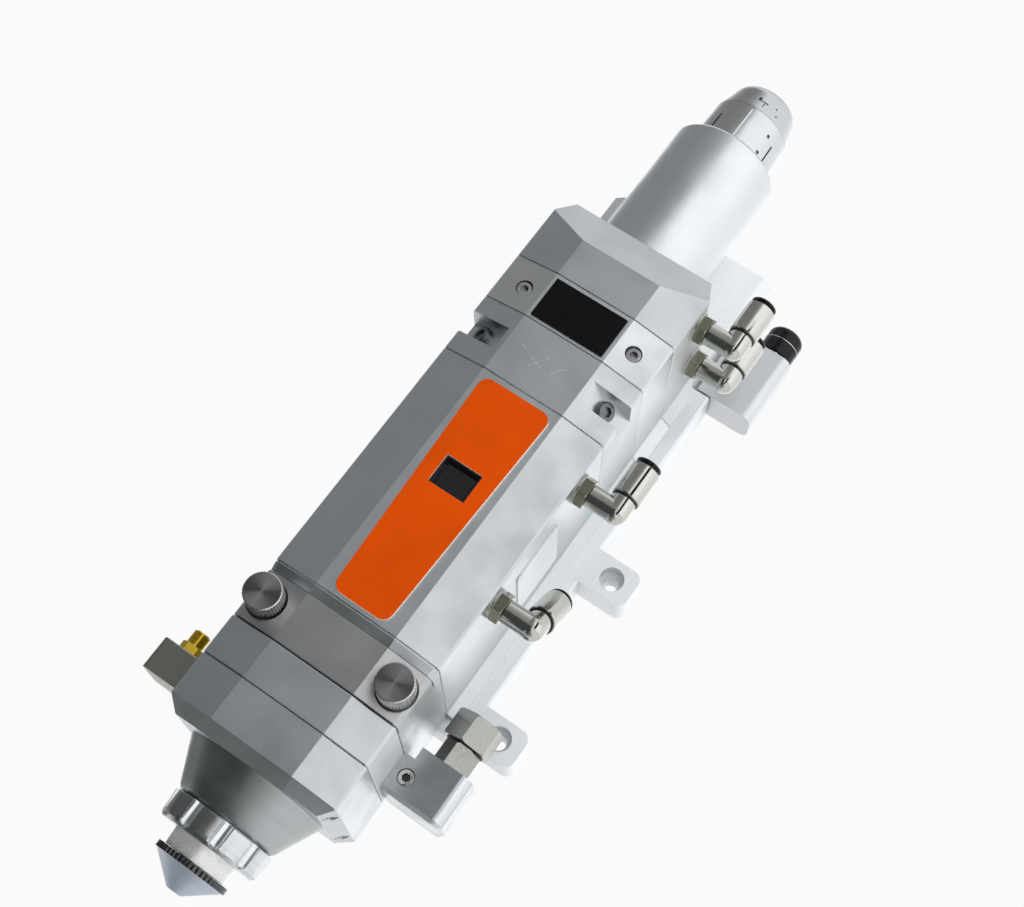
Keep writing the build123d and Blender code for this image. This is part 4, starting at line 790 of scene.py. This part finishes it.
class LASERHEAD_OT_plates(bpy.types.Operator):
    """Finishes the orange, black and side plates and the sight window"""

    bl_idname = "laserhead.plates"
    bl_label = "Plates and sight window"

    def execute(self, context):
        edge = context.scene.head_sizes.fine_edge
        plate = dress("orange_plate", finish_of("orange"), edge)
        paint_faces(plate, finish_of("pale edge"), lambda middle, normal: abs(normal.y) < 0.5)
        dress("black_plate", finish_of("black"), edge)
        dress("side_plate", finish_of("plate"), edge)
        dress("sight_bezel", finish_of("gloss"), edge)
        dress("sight_window", finish_of("dark glass"))
        return {"FINISHED"}


class LASERHEAD_OT_screws(bpy.types.Operator):
    """Finishes the screws and adds black rings round the pocket screws, as painted shade in their
    counterbores
    """

    bl_idname = "laserhead.screws"
    bl_label = "Screws"

    def execute(self, context):
        edge = context.scene.head_sizes.turned_edge
        # Painted shade: the pocket screws get the darker steel all over, and the band screws get it on the
        # faces that do not look to the front, socket and rim
        for node in ("block_screws", "pocket_screws", "band_screws", "plate_screws"):
            screws = dress(node, finish_of("shaded steel" if node == "pocket_screws" else "steel"), edge)
            if node == "band_screws":
                paint_faces(screws, finish_of("shaded steel"), lambda middle, normal: normal.y > -0.8)
        low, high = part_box("gas_screw")
        axis = (low + high) / 2
        screw = dress("gas_screw", finish_of("nickel"), edge)
        # Painted shade: the faces inside the socket radius get glossy black
        paint_faces(
            screw, finish_of("gloss"),
            lambda middle, normal: math.hypot(middle.x - axis.x, middle.z - axis.z) < GAS_SCREW_SHADED_SOCKET,
        )
        # Painted shade: a thin black ring stands in the shaded gap round each pocket screw
        first = turned(
            "screw_shadow_ring_left",
            [(3.05, 0.0), (3.1, 0.12), (3.55, 0.16), (3.9, 0.05), (3.9, -0.3), (3.05, -0.3), (3.05, 0.0)],
            sides=48,
        )
        across, depth, height = POCKET_SCREW
        for side, ring in ((-1, first), (1, copy_of(first, "screw_shadow_ring_right"))):
            tilt = side * POCKET_TILT
            out = Vector((math.sin(math.radians(tilt)), -math.cos(math.radians(tilt)), 0))
            where = Vector((side * across, depth, height)) + out * POCKET_SHADOW_RING_LIFT
            fit(ring, where, (90, 0, tilt), "gloss", "head")
        return {"FINISHED"}


class LASERHEAD_OT_thumbscrews(bpy.types.Operator):
    """Finishes the thumbscrews and adds black rubber rings under them, as painted shade round their feet"""

    bl_idname = "laserhead.thumbscrews"
    bl_label = "Thumbscrews"

    def execute(self, context):
        tones = context.scene.head_colours
        # Painted shade: a black rubber ring stands in for the dark shade at the foot of each thumbscrew
        first = turned(
            "thumb_shadow_ring_left",
            [(7.9, 0.3), (8.25, 0.45), (8.35, 0.9), (8.2, 1.3), (7.9, 1.5), (7.7, 0.9), (7.9, 0.3)],
        )
        across, depth, height = THUMB_SHADOW_RING
        for side, name, ring in ((-1, "left", first), (1, "right", copy_of(first, "thumb_shadow_ring_right"))):
            self.dress_knob(name, tones, context.scene.head_sizes.knob_edge)
            fit(ring, (side * across, depth, height), (90, 0, 0), "rubber", "drawer")
        return {"FINISHED"}

    def dress_knob(self, name, tones, edge):
        """Finishes one thumbscrew: a turned rim, and a faced-off disc within 0.3 mm of the front."""
        low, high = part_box(f"thumbscrew_{name}")
        centre = Vector(((low.x + high.x) / 2, low.y, (low.z + high.z) / 2))
        knob = dress(f"thumbscrew_{name}", lathe_metal(f"Thumbscrew {name}", tones.knob, 0.2), edge)
        face = brushed_face(f"Thumbscrew face {name}", tones.knob_face, centre, (0, 1, 0))
        paint_faces(knob, face, lambda middle, normal: normal.y < -0.9 and middle.y < low.y + 0.3 * MM)


class LASERHEAD_OT_nozzle_end(bpy.types.Operator):
    """Finishes the cone, the ring nut, the ceramic ring and the nozzle"""

    bl_idname = "laserhead.nozzle_end"
    bl_label = "Nozzle end"

    def execute(self, context):
        edge = context.scene.head_sizes.turned_edge
        dress("sensor_cone", finish_of("cone"), edge)
        dress("lock_nut", finish_of("collar"), edge)
        dress("ceramic_ring", finish_of("ceramic"), edge)
        nozzle = dress("nozzle", finish_of("nozzle"), context.scene.head_sizes.rim_edge)
        # The knurled rim gets steel at a much darker tone than the rest of the nozzle
        paint_faces(
            nozzle, finish_of("knurl"),
            lambda middle, normal: abs(normal.z) < 0.5 and (middle - BEAM).xy.length > KNURL_RADIUS,
        )
        return {"FINISHED"}


class LASERHEAD_OT_fibre_end(bpy.types.Operator):
    """Finishes the fibre tube and its locking collar, and adds the collar's marks"""

    bl_idname = "laserhead.fibre_end"
    bl_label = "Fibre end"

    def execute(self, context):
        edge = context.scene.head_sizes.turned_edge
        dress("fibre_tube", finish_of("tube"), edge)
        dress("collar_base", finish_of("collar"), edge)
        ring = dress("collar_ring", finish_of("collar"), edge)
        # Painted shade: the faces above COLLAR_TOP, the top rim of the ring, get the darker steel
        paint_faces(ring, finish_of("shaded steel"), lambda middle, normal: middle.z > COLLAR_TOP)
        depth = context.scene.head_sizes.mark_depth
        for number, (angle, height, tall, wide, body, tone) in enumerate(MARKS, 1):
            foot_radius, foot_height, taper, lean = COLLAR_WALLS[body]
            radius = foot_radius - taper * (height - foot_height)
            mark = self.strip(f"collar_mark_{number}", wide * MM, depth, tall * MM)
            turn = math.radians(angle)
            where = BEAM + Vector((math.sin(turn) * radius, -math.cos(turn) * radius, height)) * MM
            lay(mark, where, (lean, 0, angle))
            finish_piece(mark, finish_of(tone), body)
        return {"FINISHED"}

    def strip(self, name, wide, depth, tall):
        """A thin painted mark with worn corners, standing up along Z; it reaches its depth each way."""
        mark = block(name, (-wide / 2, -depth, -tall / 2), (wide / 2, depth, tall / 2))
        take(mark)
        editing("EDGE")
        bpy.ops.mesh.select_all(action="SELECT")
        bpy.ops.mesh.bevel(offset=depth / 2, segments=2)
        done()
        return mark


class LASERHEAD_OT_rear(bpy.types.Operator):
    """Finishes the rear plate, the rear housing and the connector box, and adds the dust cap's line"""

    bl_idname = "laserhead.rear"
    bl_label = "Rear pieces"

    def execute(self, context):
        sizes = context.scene.head_sizes
        for node in ("mounting_plate", "rear_housing"):
            piece = dress(node, finish_of("plate"), sizes.block_edge)
            # Painted light: the faces that look to the front get the lighter plate finish
            paint_faces(piece, finish_of("faced"), lambda middle, normal: normal.y < -0.9)
        dress("connector_box", finish_of("cover"), sizes.block_edge)
        dress("box_socket", finish_of("nickel"), sizes.small_edge)
        dress("dust_cap", finish_of("plastic"), sizes.small_edge)
        line = turned(
            "dust_cap_line",
            [(8.4, -0.22), (8.6, -0.18), (8.66, 0.0), (8.6, 0.18), (8.4, 0.22), (8.4, -0.22)],
        )
        fit(line, DUST_CAP_GROOVE, UPRIGHT, "steel", "dust_cap")
        return {"FINISHED"}


class LASERHEAD_OT_sensor_box(bpy.types.Operator):
    """Finishes the sensor box and its brass socket, and adds the socket's thread and insulator"""

    bl_idname = "laserhead.sensor_box"
    bl_label = "Sensor box"

    def execute(self, context):
        dress("sensor_box", finish_of("box"), context.scene.head_sizes.box_edge)
        dress("brass_connector", finish_of("brass"), context.scene.head_sizes.small_edge)
        pitch, turns, bore, root, crest, foot = 0.6, 9, 3.4, 3.5, 3.85, -88.3
        outline = [(bore, foot)]
        for step in range(turns):
            start = foot + 0.1 + pitch * step
            outline += [(root, start), (crest, start + 0.2), (crest, start + 0.3), (root, start + 0.5)]
        outline += [(bore, foot + pitch * turns), (bore, foot)]
        thread = turned("brass_thread", outline, sides=48)
        insulator = turned(
            "brass_insulator",
            [(0.62, -86.5), (2.55, -86.5), (2.55, -83.4), (2.3, -83.2), (0.8, -83.2), (0.62, -83.4),
             (0.62, -86.5)],
            sides=32,
        )
        fit(thread, BRASS_SOCKET, UPRIGHT, "brass", "head", 50.0)
        fit(insulator, BRASS_SOCKET, UPRIGHT, "ceramic", "head", 50.0)
        return {"FINISHED"}


class LASERHEAD_OT_elbows(bpy.types.Operator):
    """Finishes the four elbow fittings and adds their dark rings"""

    bl_idname = "laserhead.elbows"
    bl_label = "Elbow fittings"

    def execute(self, context):
        sizes = context.scene.head_sizes
        bases = dress("fitting_bases", finish_of("dark nickel"), sizes.box_edge)
        paint_faces(bases, finish_of("nickel"), lambda middle, normal: middle.x < WASHER_REACH)
        first = turned(
            "elbow_ring_1",
            [(4.35, 6.02), (5.7, 6.02), (5.95, 6.2), (6.0, 6.45), (5.95, 6.7), (5.7, 6.88), (4.35, 6.88),
             (4.35, 6.02)],
        )
        rings = [first] + [copy_of(first, f"elbow_ring_{number}") for number in (2, 3, 4)]
        for number, ((depth, height), ring) in enumerate(zip(FITTINGS, rings), 1):
            dress(f"elbow_{number}", finish_of("nickel"), sizes.turned_edge)
            dress(f"collet_{number}", finish_of("gloss"), sizes.small_edge)
            ball = Vector((ELBOW_REACH, depth, height))
            low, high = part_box(f"collet_{number}")
            way = (low + high) / 2 - ball
            lean = math.degrees(math.atan2(-way.y, way.z))
            fit(ring, ball, (lean, 0, 0), "gloss", f"elbow_{number}")
        return {"FINISHED"}


class LASERHEAD_OT_gas_inlet(bpy.types.Operator):
    """Finishes the gas block with its adaptor and nut, and adds the seal between them"""

    bl_idname = "laserhead.gas_inlet"
    bl_label = "Gas inlet"

    def execute(self, context):
        sizes = context.scene.head_sizes
        inlet = dress("gas_block", finish_of("gas"), sizes.block_edge)
        # Painted highlight: the rounded and chamfered edges of the gas block get the lighter side finish
        paint_faces(
            inlet, finish_of("side"), lambda middle, normal: max(abs(part) for part in normal) < 0.95
        )
        dress("gas_adaptor", finish_of("nut"), sizes.box_edge)
        dress("gas_nut", finish_of("nut"), sizes.nut_edge)
        seal = turned(
            "gas_seal",
            [(6.4, -57.0), (8.6, -57.02), (8.75, -56.86), (8.6, -56.7), (6.4, -56.72), (6.4, -57.0)],
        )
        fit(seal, GAS_INLET, UPRIGHT, "rubber", "head")
        return {"FINISHED"}


class LASERHEAD_OT_optics(bpy.types.Operator):
    """Finishes the focus unit, the lenses, the drawer tray and its window"""

    bl_idname = "laserhead.optics"
    bl_label = "Inner pieces"

    def execute(self, context):
        sizes = context.scene.head_sizes
        for node in ("focus_carriage", "collimator_cell", "drawer_tray"):
            dress(node, finish_of("light"), sizes.box_edge)
        for node in ("guide_rods", "lead_screw"):
            dress(node, finish_of("steel"), sizes.small_edge)
        dress("focus_motor", finish_of("black"), sizes.box_edge)
        dress("window_seal", finish_of("rubber"), sizes.small_edge)
        for node in ("protective_window", "focus_lens", "collimator_lens"):
            dress(node, finish_of("glass"))
        return {"FINISHED"}


STEPS = (
    LASERHEAD_OT_studio,
    LASERHEAD_OT_blocks,
    LASERHEAD_OT_plates,
    LASERHEAD_OT_screws,
    LASERHEAD_OT_thumbscrews,
    LASERHEAD_OT_nozzle_end,
    LASERHEAD_OT_fibre_end,
    LASERHEAD_OT_rear,
    LASERHEAD_OT_sensor_box,
    LASERHEAD_OT_elbows,
    LASERHEAD_OT_gas_inlet,
    LASERHEAD_OT_optics,
)


class LASERHEAD_PT_panel(bpy.types.Panel):
    """Lists the steps that make the cutting head"""

    bl_idname = "LASERHEAD_PT_panel"
    bl_label = "Cutting head"
    bl_space_type = "VIEW_3D"
    bl_region_type = "UI"
    bl_category = "Cutting head"

    def draw(self, context):
        for step in STEPS:
            self.layout.operator(step.bl_idname)


CLASSES = (HeadColours, HeadSizes, StudioSettings, *STEPS, LASERHEAD_PT_panel)


def register():
    """Registers the classes and their settings."""
    for each in CLASSES:
        bpy.utils.register_class(each)
    bpy.types.Scene.head_colours = bpy.props.PointerProperty(type=HeadColours)
    bpy.types.Scene.head_sizes = bpy.props.PointerProperty(type=HeadSizes)
    bpy.types.Scene.studio_settings = bpy.props.PointerProperty(type=StudioSettings)


def unregister():
    """Takes them away again."""
    del bpy.types.Scene.studio_settings
    del bpy.types.Scene.head_sizes
    del bpy.types.Scene.head_colours
    for each in reversed(CLASSES):
        bpy.utils.unregister_class(each)


def main():
    """Makes the whole scene."""
    register()
    for step in STEPS:
        group, name = step.bl_idname.split(".")
        getattr(getattr(bpy.ops, group), name)()


if __name__ == "__main__":
    main()
